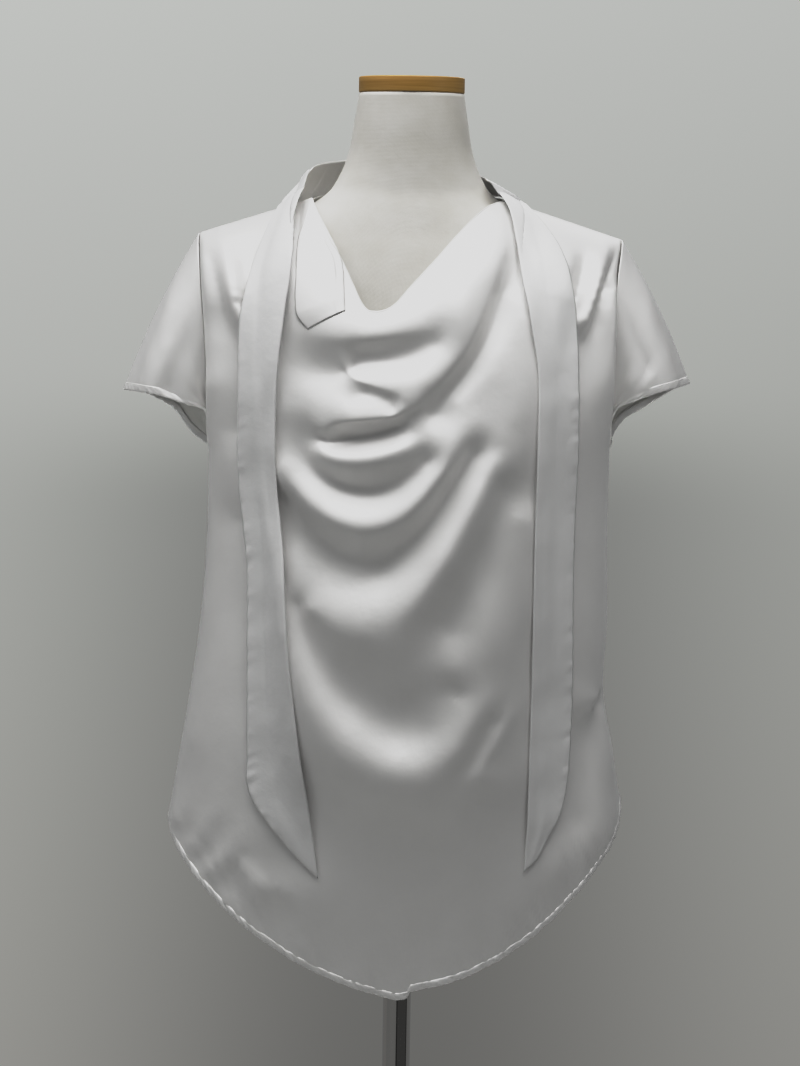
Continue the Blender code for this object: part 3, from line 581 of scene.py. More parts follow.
def foldRise(surface, x, height):
    # metres out of the form at each place, a batch of places at a time
    places, answer = surface
    batch = 4000
    at = np.column_stack([x.ravel(), height.ravel()]) * (1000.0 / plateSettings["unit"])
    rise = np.zeros(len(at))
    for start in range(0, len(at), batch):
        part = at[start:start + batch]
        gap = np.linalg.norm(part[:, None] - places[None], axis=-1) + 1e-12
        rise[start:start + batch] = (gap**2 * np.log(gap)) @ answer[:-3] + answer[-3] + part @ answer[-2:]
    return rise.reshape(x.shape) / 1000.0


frontSurface = thinPlate({**frontFolds, **stillPlaces})
backSurface = thinPlate({**backFolds, **stillPlaces})

panel = {"slopeStep": 0.002, "steepest": 6.0, "clearOfTorso": 0.0012, "calmSide": 0.035, "calmDepth": 0.05,
         "startHeight": 1.38, "edgePasses": 12}


def panelSlope(x, height, front, sideStep, upStep):
    ahead = panelDepth(x + sideStep, height + upStep, front)
    behind = panelDepth(x - sideStep, height - upStep, front)
    return np.clip((ahead - behind) / panel["slopeStep"] / 2.0, -panel["steepest"], panel["steepest"])


def formPoint(x, height, front, rise):
    # a point of a panel, moved out along the form's normal
    depth = panelDepth(x, height, front)
    sideways = panelSlope(x, height, front, panel["slopeStep"], 0.0)
    upwards = panelSlope(x, height, front, 0.0, panel["slopeStep"])
    normal = np.stack([-sideways, np.ones_like(depth), -upwards], axis=-1)
    normal /= np.linalg.norm(normal, axis=-1, keepdims=True)
    point = np.stack([x, depth, height], axis=-1) + normal * rise[..., None]
    room = torsoDepth(point[..., 0], point[..., 2], front) + form["cloth"] + panel["clearOfTorso"]
    point[..., 1] = np.maximum(point[..., 1], room)
    point[..., 1] = np.maximum(point[..., 1], form["seam"] / 2.0)
    if front:
        point[..., 1] *= -1.0
    return point


def calmNearSeams(x, height, front):
    side = (1.0 - np.abs(x) / halfWidth(x, height)) / panel["calmSide"]
    return smoothStep(panelDepth(x, height, front) / panel["calmDepth"]) * smoothStep(side)


def frontLean(x, height):
    # how far each place slides with the crests that hang over
    slide = np.zeros(x.shape + (2,))
    for name, (reach, across, up) in frontLeans.items():
        line = curveThrough(np.array(frontFolds[name], float) - leanShift(name), 2.0) / 1000.0
        apart = np.hypot(x[..., None] - line[:, 0], height[..., None] - line[:, 1])
        taper = np.sin(math.pi * np.linspace(0.06, 0.94, len(line))) ** 0.4
        pull = (taper * bell(apart, reach / 1000.0)).max(axis=-1)
        slide += pull[..., None] * np.array([across, up]) / 1000.0
    return slide


def rowShares(count, fine):
    # rows close together near the top and wider apart below
    t = np.linspace(0.0, 1.0, count)
    return (fine * t + (1.0 - fine) * t**3)[:, None]


def panelPlaces(setting, edge, low):
    # x and height of a panel's grid, from its top edge down to its curved hem
    across = np.linspace(-1.0, 1.0, setting["columns"])[None, :]
    height = np.full(across.shape, panel["startHeight"])
    for _ in range(panel["edgePasses"]):
        height = edge(acrossToX(across, height))
    height = height + (hemHeight(across, low) - height) * rowShares(setting["rows"], setting["fine"])
    return acrossToX(across + 0.0 * height, height), height


puckerShape = {  # height, lean, stretch, size and how far up the cloth they reach
    "short": (0.0006, 0.5, 0.12, 0.009, 0.009),
    "long": (0.0011, 0.0, 0.4, 0.034, 0.03),
}


def hemPuckers(x, height, low, seed):
    # slanting wrinkles that the hem's stitches draw into the cloth
    above = np.maximum(height - hemHeight(np.clip(x / halfWidth(x, height), -1.0, 1.0), low), 0.0)
    total = 0.0 * x
    for k, (rise, lean, stretch, size, reach) in enumerate(puckerShape.values()):
        wrinkle = softNoise(x + lean * height, stretch * height, size, seed + k)
        total = total + rise * wrinkle * np.exp(-above / reach)
    return total


print("form and folds are solved")


# making cloth

def unit(rows):
    return rows / np.maximum(np.linalg.norm(rows, axis=-1, keepdims=True), 1e-12)


def gridNormals(grid, closed=False):
    if closed:
        along = np.roll(grid, -1, axis=1) - np.roll(grid, 1, axis=1)
    else:
        along = np.gradient(grid, axis=1)
    return unit(np.cross(along, np.gradient(grid, axis=0)))


def clothMap(grid, closed):
    # lengths along the cloth, so that a weave keeps its size
    if closed:
        grid = np.concatenate([grid, grid[:, :1]], axis=1)
    across = np.linalg.norm(np.diff(grid, axis=1), axis=-1)
    down = np.linalg.norm(np.diff(grid, axis=0), axis=-1)
    u = np.concatenate([np.zeros((grid.shape[0], 1)), np.cumsum(across, axis=1)], axis=1)
    u = u - u[:, -1:] / 2.0
    v = np.concatenate([np.zeros((1, grid.shape[1])), np.cumsum(down, axis=0)], axis=0)
    return u, v.max() - v


def gridCorners(rows, columns, rowSpans, columnSpans):
    # the row and column of each quad's four corners
    row, column = np.meshgrid(np.arange(rowSpans), np.arange(columnSpans), indexing="ij")
    corners = np.stack([(row, column), (row, column + 1), (row + 1, column + 1), (row + 1, column)])
    corners = corners.transpose(2, 3, 0, 1).reshape(-1, 4, 2)
    quads = corners[..., 0] % rows * columns + corners[..., 1] % columns
    return corners, quads


def addPiece(name, points, faces, finish):
    mesh = bpy.data.meshes.new(name)
    mesh.from_pydata(points.reshape(-1, 3).tolist(), [], faces)
    for one in finish:
        mesh.materials.append(one)
    mesh.shade_smooth()
    piece = bpy.data.objects.new(name, mesh)
    scene.collection.objects.link(piece)
    return piece


def selectOnly(piece):
    bpy.ops.object.select_all(action="DESELECT")
    bpy.context.view_layer.objects.active = piece
    piece.select_set(True)


def editWhole(piece, *steps):
    # the steps run in edit mode with all of the piece selected, then its faces are turned outwards
    selectOnly(piece)
    bpy.ops.object.mode_set(mode="EDIT")
    for step in (*steps, lambda: bpy.ops.mesh.normals_make_consistent(inside=False)):
        bpy.ops.mesh.select_all(action="SELECT")
        step()
    bpy.ops.object.mode_set(mode="OBJECT")
    piece.select_set(False)
    return piece


def addCloth(name, grid, inside, finish, closed=False):
    # a sheet of quads through the grid, its face turned away from a point on its inner side
    rows, columns = grid.shape[:2]
    flip = ((grid - np.array(inside)) * gridNormals(grid, closed)).sum() < 0.0
    corners, quads = gridCorners(rows, columns, rows - 1, columns if closed else columns - 1)
    if flip:
        quads = quads[:, ::-1]
        corners = corners[:, ::-1]
    piece = addPiece(name, grid, quads.tolist(), finish)
    u, v = clothMap(grid, closed)
    row, column = corners.reshape(-1, 2).T
    layer = piece.data.uv_layers.new(name="cloth")
    layer.data.foreach_set("uv", np.column_stack([u[row, column], v[row, column]]).ravel())
    return piece


def addWall(name, grid, inside, closed=False):
    # one layer of satin as a thin wall, with its reverse on the inner side
    piece = addCloth(name, grid, inside, [satinFace, satinReverse], closed)
    wall = piece.modifiers.new("wall", "SOLIDIFY")
    wall.thickness = form["cloth"]
    wall.offset = -1.0
    wall.material_offset = 1
    wall.material_offset_rim = 0
    selectOnly(piece)
    bpy.ops.object.modifier_apply(modifier=wall.name)
    piece.select_set(False)
    return piece


def addDouble(name, middle, half, finish):
    # two layers of cloth that meet in rounded edges
    rows, columns = middle.shape[:2]
    shareAcross = np.abs(np.linspace(-1.0, 1.0, columns))[None, :]
    shareDown = np.abs(np.linspace(-1.0, 1.0, rows))[:, None]
    close = (1.0 - shareAcross ** (columns / 3.0)) * (1.0 - shareDown ** (rows / 2.0))
    stand = gridNormals(middle) * (half * np.sqrt(np.clip(close, 0.0, 1.0)))[..., None]
    sheet = np.concatenate([middle + stand, (middle - stand)[:, ::-1]], axis=1)
    piece = addCloth(name, sheet, middle.mean(axis=(0, 1)), finish, closed=True)
    return editWhole(piece, lambda: bpy.ops.mesh.remove_doubles(threshold=0.00001))


def evenAlong(line, pitch, closed=False):
    # places along a line at an even pitch, as a row number and a share of the way to the next
    if closed:
        line = np.concatenate([line, line[:1]])
    run = np.concatenate([[0.0], np.cumsum(np.linalg.norm(np.diff(line, axis=0), axis=1))])
    count = max(4, int(round(run[-1] / pitch)))
    at = np.linspace(0.0, run[-1], count, endpoint=not closed)
    return np.interp(at, run, np.arange(len(line))), at


def takeAlong(rows, at, closed=False):
    if closed:
        rows = np.concatenate([rows, rows[:1]])
    i = np.clip(at.astype(int), 0, len(rows) - 2)
    share = (at - i)[:, None]
    return rows[i] * (1.0 - share) + rows[i + 1] * share


def edgeFrame(grid, edge, closed=False):
    # the line of an edge, the way up the cloth from it and the way out of the cloth
    normals = gridNormals(grid, closed)
    if edge == "last":
        return grid[-1], unit(grid[-3] - grid[-1]), normals[-2]
    return grid[0], unit(grid[2] - grid[0]), normals[1]


hemShape = [  # reach up the cloth and stand out of it, round the turned-up edge
    (-0.05, -0.3), (-0.03, 0.5), (0.07, 0.95), (0.22, 1.05), (0.42, 1.0), (0.62, 1.0), (0.80, 0.75),
    (0.90, 0.3), (1.0, 0.0), (1.0, -0.9), (0.86, -1.5), (0.50, -1.6), (0.10, -1.5), (-0.03, -1.1),
]
hemEdge = {"crest": 0.95, "calm": 0.2, "inner": 0.6, "lip": 0.2, "draw": 0.075}
hemStyle = {"width": 0.0064, "thick": 0.0008, "pitch": 0.0011, "ripple": 0.0075, "pucker": 0.6,
            "slant": 0.007, "seed": 11, "stitches": 0.0052}
stitchLift = 0.0004


def addBar(name, loops, finish, closed):
    # loops joined side by side: into a ring, or into a bar with a face on each end
    rows, columns = loops.shape[:2]
    faces = gridCorners(rows, columns, rows if closed else rows - 1, columns)[1].tolist()
    if not closed:
        faces += [list(range(columns)), [(rows - 1) * columns + i for i in range(columns)]]
    return editWhole(addPiece(name, loops, faces, finish))


def addHem(name, frameLines, setting, inside, closed=False):
    # a turned-up edge that wraps the cloth, drawn in by its stitches
    at, run = evenAlong(frameLines[0], setting["pitch"], closed)
    line, up, normal = [takeAlong(rows, at, closed) for rows in frameLines]
    if ((line - np.array(inside)) * normal).sum() < 0.0:
        normal = -normal
    ripple = softNoise(run, 0.0 * run, setting["ripple"], setting["seed"])
    draw = hemEdge["draw"] * setting["pucker"] * setting["width"] * ripple
    loops = []
    for reach, out in hemShape:
        slant = softNoise(run + reach * setting["slant"], 0.0 * run, setting["ripple"], setting["seed"])
        calm = hemEdge["calm"] + (1.0 - hemEdge["calm"]) * min(1.0, abs(reach - hemEdge["crest"]) * 4.0)
        puff = 1.0 + setting["pucker"] * slant * calm * (out > 0.0)
        side = setting["thick"] * out * puff
        if out < 0.0:
            side = side - form["cloth"] * hemEdge["inner"]
        pull = reach * setting["width"] - draw * (reach < hemEdge["lip"])
        loops.append(line + up * pull[:, None] + normal * side[:, None])
    loops = np.stack(loops, axis=1)
    if closed:
        loops = loops.transpose(1, 0, 2)
    hem = addBar(name, loops, [satinFace], closed)
    if "stitches" not in setting:
        return hem, None
    seam = line + up * setting["stitches"] + normal * stitchLift
    return hem, addStitches(name.replace("Hem", "Stitches") if closed else name + "Stitches", seam, normal)


stitchShape = {"length": 0.0017, "width": 0.00045, "gap": 0.0010, "sides": 5}
stitchRings = [(-0.5, 0.3), (-0.3, 0.9), (0.0, 1.0), (0.3, 0.9), (0.5, 0.3)]  # share of length, of width


def addStitches(name, line, normal):
    # one stitch is modelled and laid down again and again along the line
    at = evenAlong(line, stitchShape["length"] + stitchShape["gap"])[0]
    places = takeAlong(line, at)
    ways = unit(np.gradient(places, axis=0))
    outs = takeAlong(normal, at)
    outs = unit(outs - ways * (outs * ways).sum(axis=1, keepdims=True))
    sides = np.cross(ways, outs)
    count = stitchShape["sides"]
    turns = np.linspace(0.0, 2.0 * math.pi, count, endpoint=False)
    one = []
    for share, size in stitchRings:
        radius = stitchShape["width"] / 2.0 * size
        for turn in turns:
            one.append((share * stitchShape["length"], radius * math.cos(turn), radius * math.sin(turn)))
    one = np.array(one)[None]
    points = places[:, None] + one[..., :1] * ways[:, None]
    points = points + one[..., 1:2] * sides[:, None] + one[..., 2:] * outs[:, None]
    faces = gridCorners(len(stitchRings), count, len(stitchRings) - 1, count)[1].tolist()
    faces += [list(range(count)), [(len(stitchRings) - 1) * count + i for i in range(count)]]
    every = [[k * one.shape[1] + i for i in face] for k in range(len(places)) for face in faces]
    return editWhole(addPiece(name, points, every, [seamThread]))


def ridesAs(piece):
    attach(piece, "root")


# front: cowl, body and curved tail in one panel

frontPiece = {"columns": 231, "rows": 200, "fine": 0.45, "inside": (0.0, 0.05, 1.05)}
frontSpread = {"uneven": 0.0005, "size": 0.055, "lowest": -0.010, "highest": 0.030}
tailStep = {"x": 0.0102, "wide": 0.035, "low": 0.0034, "high": 0.0030, "sharp": 0.0035, "reach": 8}
neckStyle = {"width": 0.0016, "thick": 0.0005, "pitch": 0.0016, "ripple": 0.03, "pucker": 0.15,
             "slant": 0.0, "seed": 5}
neckMargin = 0.0005

frontX, frontZ = panelPlaces(frontPiece, frontEdge, form["hemLow"])
stepSide = smoothStep((frontX - tailStep["x"]) / tailStep["sharp"] + 0.5)
stepDrop = tailStep["low"] * (1.0 - stepSide) - tailStep["high"] * stepSide
stepDrop = stepDrop * bell(frontX - tailStep["x"], tailStep["wide"])
frontZ = frontZ - stepDrop * rowShares(frontPiece["rows"], frontPiece["fine"]) ** tailStep["reach"]
frontSlide = frontLean(frontX, frontZ)
frontRise = foldRise(frontSurface, frontX, frontZ)
frontRise = frontRise + frontSpread["uneven"] * softNoise(frontX, frontZ, frontSpread["size"], 3)
frontRise = np.clip(frontRise, frontSpread["lowest"], frontSpread["highest"])
frontRise = frontRise * calmNearSeams(frontX, frontZ, True)
frontRise = frontRise + hemPuckers(frontX, frontZ, form["hemLow"], 61)
frontGrid = formPoint(frontX + frontSlide[..., 0], frontZ + frontSlide[..., 1], True, frontRise)
front = addWall("frontPanel", frontGrid, frontPiece["inside"])
frontHem, frontHemStitches = addHem("frontHem", edgeFrame(frontGrid, "last"), hemStyle, frontPiece["inside"])
neckPart = (frontX[0] > neckline[0, 0] - neckMargin) & (frontX[0] < neckline[-1, 0] + neckMargin)
neckFold = addHem("neckFold", edgeFrame(frontGrid[:, neckPart], "first"), neckStyle, frontPiece["inside"])[0]
for piece in (front, frontHem, neckFold, frontHemStitches):
    ridesAs(piece)
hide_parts("front")
print("front is made")


# back: the same form behind, with soft hanging folds

backPiece = {"columns": 181, "rows": 150, "fine": 0.6, "inside": (0.0, -0.05, 1.05)}
backSpread = {"uneven": 0.0006, "size": 0.07, "lowest": -0.008, "highest": 0.012}

backX, backZ = panelPlaces(backPiece, backEdge, form["hemBackLow"])
backRise = foldRise(backSurface, backX, backZ)
backRise = backRise + backSpread["uneven"] * softNoise(backX, backZ, backSpread["size"], 8)
backRise = np.clip(backRise, backSpread["lowest"], backSpread["highest"])
backRise = backRise * calmNearSeams(backX, backZ, False)
backRise = backRise + hemPuckers(backX, backZ, form["hemBackLow"], 63)
backGrid = formPoint(backX, backZ, False, backRise)
back = addWall("backPanel", backGrid, backPiece["inside"])
backHem, backHemStitches = addHem(
    "backHem", edgeFrame(backGrid, "last"), {**hemStyle, "seed": 23}, backPiece["inside"])
for piece in (back, backHem, backHemStitches):
    ridesAs(piece)
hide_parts("back")
print("back is made")


# sleeves: short and flared, open below

sleeveHems = {  # degrees from the top round by the front; out, forward, up
    "left": np.array([
       (0, 0.268, 0.0, 1.222), (45, 0.249, 0.042, 1.2225), (90, 0.225, 0.058, 1.219),
        (112, 0.205, 0.056, 1.2125), (132, 0.1878, 0.047, 1.206), (155, 0.1868, 0.028, 1.184),
        (180, 0.1868, 0.0, 1.172), (205, 0.1875, -0.026, 1.168), (235, 0.205, -0.049, 1.178),
        (270, 0.222, -0.057, 1.198), (315, 0.25, -0.04, 1.216), (360, 0.268, 0.0, 1.222),
    ]),
    "right": np.array([
       (0, 0.267, 0.0, 1.236), (45, 0.25, 0.042, 1.234), (90, 0.228, 0.058, 1.2285),
        (112, 0.21, 0.056, 1.2215), (132, 0.1935, 0.048, 1.212), (155, 0.1925, 0.028, 1.186),
        (180, 0.1925, 0.0, 1.174), (205, 0.1932, -0.026, 1.176), (235, 0.208, -0.049, 1.196),
        (270, 0.23, -0.057, 1.209), (315, 0.253, -0.04, 1.226), (360, 0.267, 0.0, 1.236),
    ]),
}
sleeveFolds = {  # degrees at the seam and at the hem, spread in degrees, height, first and last share
    "left": [(30, 52, 20, 0.003, 0.1, 1.1), (78, 92, 16, -0.0034, 0.0, 1.1),
             (118, 122, 14, 0.0022, 0.1, 1.0), (52, 60, 6, -0.0009, 0.25, 0.6),
             (300, 310, 20, 0.003, 0.1, 1.1), (250, 258, 16, -0.003, 0.0, 1.1)],
    "right": [(26, 46, 18, 0.0032, 0.1, 1.1), (70, 82, 14, -0.0036, 0.0, 0.8),
              (98, 102, 12, 0.0026, 0.3, 1.0), (305, 318, 20, 0.003, 0.1, 1.1),
              (262, 262, 16, -0.003, 0.0, 1.1)],
}
sleevePiece = {"sides": 220, "rows": 90, "middle": (0.21, 0.0, 1.27), "arch": 0.0045, "archPlace": 0.6,
               "uneven": 0.0003, "fadeIn": 0.3, "fadeOut": 0.2, "settle": 0.08, "clear": 0.6}
sleeveHemStyle = {"width": 0.0068, "thick": 0.0006, "pitch": 0.0011, "ripple": 0.0068, "pucker": 0.9,
                  "slant": 0.009, "stitches": 0.0061}
sleeveSeeds = {"left": 31, "right": 37}


def sleeveGrid(side, sign, inside):
    turn = np.linspace(0.0, 2.0 * math.pi, sleevePiece["sides"], endpoint=False)[None, :]
    along = np.linspace(0.0, 1.0, sleevePiece["rows"])[:, None]
    degrees = np.degrees(turn)
    up, forward = np.cos(turn), np.sin(turn)
    startZ = form["armholeMiddle"] + form["armholeHeight"] * up
    startX = halfWidth(sign, startZ) + form["seam"]
    startY = -form["armholeDepth"] * forward
    hem = sleeveHems[side]
    arch = sleevePiece["arch"] * 4.0 * along * (1.0 - along) * smoothStep(up + sleevePiece["archPlace"])
    x = startX + (readTable(hem, 1, degrees) - startX) * along + arch
    y = startY + (-readTable(hem, 2, degrees) - startY) * along - 0.5 * arch * forward
    z = startZ + (readTable(hem, 3, degrees) - startZ) * along
    grid = np.stack([sign * x, y, z], axis=-1)
    normal = gridNormals(grid, True)
    if ((grid - np.array(inside)) * normal).sum() < 0.0:
        normal = -normal
    rise = sleevePiece["uneven"] * softNoise(degrees / 1500.0, along * 0.1, 0.03, 14)
    for start, end, spread, height, first, last in sleeveFolds[side]:
        apart = (degrees - start - (end - start) * along + 180.0) % 360.0 - 180.0
        part = smoothStep((along - first) / sleevePiece["fadeIn"])
        part = part * smoothStep((last - along) / sleevePiece["fadeOut"])
        rise = rise + height * part * bell(apart, spread)
    grid = grid + normal * (rise * smoothStep(along / sleevePiece["settle"]))[..., None]
    edge = halfWidth(sign, grid[..., 2]) + form["seam"] * sleevePiece["clear"]
    grid[..., 0] = sign * np.maximum(sign * grid[..., 0], edge)
    return grid


for side, sign in (("left", -1.0), ("right", 1.0)):
    end = side.capitalize()
    out, forward, up = sleevePiece["middle"]
    inside = (sign * out, forward, up)
    tube = sleeveGrid(side, sign, inside)
    sleeve = addWall("sleeve" + end, tube, inside, closed=True)
    style = {**sleeveHemStyle, "seed": sleeveSeeds[side]}
    cuff = edgeFrame(tube, "last", closed=True)
    hem, stitches = addHem("sleeveHem" + end, cuff, style, inside, closed=True)
    for piece in (sleeve, hem, stitches):
        ridesAs(piece)
    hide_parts("sleeve_" + side)
print("sleeves are made")


# ties: long double strips that lie on the front, cut to a slant at the end

tieRows = {  # outer x and z, inner x and z, outer and inner stand
    "left": np.array([
       (-0.12, 1.4015, -0.092, 1.432, 0.0045, 0.0045),
        (-0.13, 1.378, -0.092, 1.406, 0.0045, 0.014),
        (-0.1405, 1.35, -0.0965, 1.381, 0.0045, 0.016),
        (-0.1475, 1.323, -0.102, 1.35, 0.0045, 0.012),
        (-0.1525, 1.284, -0.108, 1.305, 0.0045, 0.009),
        (-0.1525, 1.22, -0.1155, 1.23, 0.0045, 0.006),
        (-0.1495, 1.145, -0.1135, 1.15, 0.0045, 0.0045),
        (-0.143, 1.075, -0.103, 1.075, 0.0045, 0.0045),
        (-0.142, 0.98, -0.0955, 0.98, 0.0045, 0.0045),
        (-0.141, 0.9, -0.087, 0.9, 0.0045, 0.0045),
        (-0.137, 0.858, -0.08, 0.845, 0.0045, 0.0045),
        (-0.098, 0.809, -0.0725, 0.787, 0.0045, 0.0045),
    ]),
    "right": np.array([
       (0.101, 1.4075, 0.071, 1.424, 0.0045, 0.0045), (0.12, 1.385, 0.086, 1.395, 0.0045, 0.009),
        (0.133, 1.365, 0.0945, 1.365, 0.0045, 0.008), (0.143, 1.342, 0.1, 1.34, 0.0045, 0.008),
        (0.1505, 1.308, 0.107, 1.305, 0.0045, 0.008), (0.154, 1.25, 0.1165, 1.248, 0.0045, 0.0045),
        (0.154, 1.185, 0.1165, 1.185, 0.0045, 0.0045), (0.1525, 1.1, 0.115, 1.1, 0.0045, 0.0045),
        (0.154, 1.0, 0.115, 1.0, 0.0045, 0.0045), (0.1545, 0.92, 0.1145, 0.91, 0.0045, 0.0045),
        (0.15, 0.855, 0.1145, 0.84, 0.0045, 0.0045), (0.125, 0.803, 0.113, 0.793, 0.0045, 0.0045),
    ]),
}
tiePiece = {"columns": 29, "rows": 300, "bridge": 14, "half": 0.0008, "sink": 0.0026, "pucker": 0.0005,
            "uneven": 0.00035, "highest": 0.020, "nearest": 0.0012, "puckerTop": 1.30}
tieCreases = {  # across (0 outer, 1 inner) and along at both ends, spread across, height
    "left": [(0.20, 0.30, 0.85, 0.72, 0.16, 0.0012), (0.55, 0.05, 0.45, 0.40, 0.22, 0.0012),
             (0.75, 0.45, 0.70, 0.95, 0.18, -0.0010)],
    "right": [(0.65, 0.05, 0.40, 0.45, 0.20, 0.0012), (0.30, 0.40, 0.55, 0.80, 0.20, -0.0010),
              (0.60, 0.60, 0.50, 0.98, 0.16, 0.0009)],
}


def bridgeOver(rise, reach):
    # a smooth line down the strip that never goes below the folds under it
    for blend in (np.max, np.mean):
        padded = np.pad(rise, ((reach, reach), (0, 0)), mode="edge")
        rise = blend([padded[k:k + len(rise)] for k in range(2 * reach + 1)], axis=0)
    return rise


def tieGrid(side):
    rows = tieRows[side]
    table = np.column_stack([np.arange(len(rows)), rows])
    at = np.linspace(0.0, len(rows) - 1.0, tiePiece["rows"])
    share = np.linspace(0.0, 1.0, tiePiece["columns"])[None, :]
    outerX, innerX, outerStand, innerStand = [readTable(table, k, at)[:, None] for k in (1, 3, 5, 6)]
    outerZ, innerZ = [np.interp(at, table[:, 0], rows[:, k])[:, None] for k in (1, 3)]
    stand = outerStand * (1.0 - share) + innerStand * share
    x = outerX + (innerX - outerX) * share
    height = outerZ + (innerZ - outerZ) * share
    run = (at / at[-1])[:, None]
    wave = tiePiece["uneven"] * softNoise(x, height, 0.04, 43)
    for across1, along1, across2, along2, spread, rise in tieCreases[side]:
        part = np.clip((run - along1) / (along2 - along1), 0.0, 1.0)
        inside = smoothStep((run - along1) / 0.06 + 0.5) * smoothStep((along2 - run) / 0.06 + 0.5)
        wave = wave + rise * inside * bell(share - across1 - (across2 - across1) * part, spread)
    outerPucker = bell(share, 0.16) * softNoise(height - 0.5 * x, 0.0 * x, 0.012, 41)
    wave = wave + tiePiece["pucker"] * outerPucker * smoothStep((tiePiece["puckerTop"] - height) / 0.1)
    under = np.maximum(foldRise(frontSurface, x, height), 0.0)
    under = under * smoothStep(panelDepth(x, height, True) / panel["calmDepth"])
    under = bridgeOver(np.clip(under, 0.0, tiePiece["highest"]), tiePiece["bridge"])
    lift = np.maximum(stand - tiePiece["sink"] + wave, tiePiece["nearest"])
    grid = formPoint(x, height, True, under + lift)
    grid[0, :, 1] = -form["seam"] / 2.0
    return grid


for side in ("left", "right"):
    tie = addDouble("tie" + side.capitalize(), tieGrid(side), tiePiece["half"], [tieSatin])
    ridesAs(tie)
    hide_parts("tie_" + side)
print("ties are made")


# neck band: round behind the neck, from one tie to the other

bandPiece = {  # edges: left and right x, rear y, then left, rear and right z
    "rows": 25, "columns": 200, "half": 0.0009, "clear": 0.003, "lift": 0.0042, "belly": 0.0009,
    "uneven": 0.0006, "rightDrop": 0.5, "lowest": 1.33, "halvings": 30,
    "lower": (-0.12, 0.101, 0.089, 1.4, 1.396, 1.406),
    "upper": (-0.092, 0.071, 0.074, 1.432, 1.443, 1.424),
    "inside": (0.0, 0.0, 1.42),
}


def bandEdge(edge, turn):
    left, right, rear, leftZ, rearZ, rightZ = edge
    x = (left + right) / 2.0 - (right - left) / 2.0 * np.cos(turn)
    y = np.maximum(rear * np.sin(turn), form["seam"] / 2.0)
    ends = leftZ + (rightZ - leftZ) * turn / math.pi
    drop = 1.0 - bandPiece["rightDrop"] * smoothStep(turn / math.pi * 2.0 - 1.0)
    return np.stack([x, y, ends + (rearZ - (leftZ + rightZ) / 2.0) * np.sin(turn) * drop], axis=-1)


def backHeight(x, y):
    # how high the back panel is where it stands y behind the middle, by halving
    low = np.full(np.shape(x), bandPiece["lowest"])
    high = shoulderHeight(x)
    for _ in range(bandPiece["halvings"]):
        middle = (low + high) / 2.0
        inside = panelDepth(x, middle, False) > y
        low = np.where(inside, middle, low)
        high = np.where(inside, high, middle)
    return (low + high) / 2.0


bandTurn = np.linspace(0.0, math.pi, bandPiece["columns"])
bandLower = bandEdge(bandPiece["lower"], bandTurn)
bandRest = backHeight(bandLower[:, 0], np.maximum(bandLower[:, 1] - bandPiece["clear"], 0.0))
bandLower[:, 2] = bandRest + bandPiece["lift"] * (1.0 - np.sin(bandTurn))
bandUpper = bandEdge(bandPiece["upper"], bandTurn)
bandShare = np.linspace(0.0, 1.0, bandPiece["rows"])[:, None]
bandGrid = bandLower[None] * (1.0 - bandShare[..., None]) + bandUpper[None] * bandShare[..., None]
bandNormal = gridNormals(bandGrid)
bandNormal = bandNormal * np.sign((bandNormal * (bandGrid - np.array(bandPiece["inside"]))).sum())
bandWave = bandPiece["belly"] * np.sin(bandShare * math.pi)
bandWave = bandWave + bandPiece["uneven"] * softNoise(bandTurn * 0.09, bandShare * 0.03, 0.03, 51)
bandGrid = bandGrid + bandNormal * (bandWave * np.sin(bandTurn))[..., None]
bandGrid[..., 1] = np.maximum(bandGrid[..., 1], form["seam"] / 2.0)
neckBand = addDouble("neckBand", bandGrid.transpose(1, 0, 2), bandPiece["half"], [satinFace])
ridesAs(neckBand)
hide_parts("neck_band")
print("neck band is made")


# facing: the strip inside the cowl that has turned out at the left

facingPiece = {"columns": 41, "rows": 90, "half": 0.0004, "stand": 0.0022, "inner": 0.0007,
               "lowest": -0.001, "highest": 0.016, "hemLine": 0.0005, "slit": 0.0011, "hollow": 0.0016}
facingEdges = {  # millimetres across and up, from the neckline down
    "outer": [(-91, 1403), (-95, 1383), (-100, 1360), (-101, 1332), (-101, 1310), (-99, 1296), (-93, 1288),
              (-89, 1284)],
    "inner": [(-90, 1404), (-81, 1384), (-70, 1363), (-63, 1353), (-59, 1338), (-58, 1325), (-57, 1312),
              (-56, 1301)],
}


def facingGrid():
    edges = []
    for points in facingEdges.values():
        edge = curveThrough(points, 1.0) / 1000.0
        edges.append(takeAlong(edge, np.linspace(0, len(edge) - 1, facingPiece["rows"]))[:, None])
    across = np.linspace(0.0, 1.0, facingPiece["columns"])[None, :]
    down = np.linspace(0.0, 1.0, facingPiece["rows"])[:, None]
    flat = edges[0] * (1.0 - across[..., None]) + edges[1] * across[..., None]
    x, height = flat[..., 0], flat[..., 1]
    hemLines = facingPiece["hemLine"] * (bell(across - 0.80, 0.03) + 0.7 * bell(across - 0.94, 0.03))
    hemLines = hemLines * smoothStep((down - 0.3) / 0.1)
    slit = facingPiece["slit"] * bell(across - 0.86, 0.025)
    slit = slit * smoothStep((down - 0.35) / 0.1) * smoothStep((0.75 - down) / 0.1)
    hollow = facingPiece["hollow"] * bell(across - 0.35, 0.25) * bell(down - 0.28, 0.2)
    close = smoothStep((across - 0.35) / 0.5) * smoothStep((0.62 - down) / 0.25)
    close = np.maximum(close, smoothStep((down - 0.86) / 0.14))
    stand = facingPiece["stand"] + (facingPiece["inner"] - facingPiece["stand"]) * close
    under = np.clip(foldRise(frontSurface, x, height), facingPiece["lowest"], facingPiece["highest"])
    return formPoint(x, height, True, under + stand + hemLines - slit - hollow)


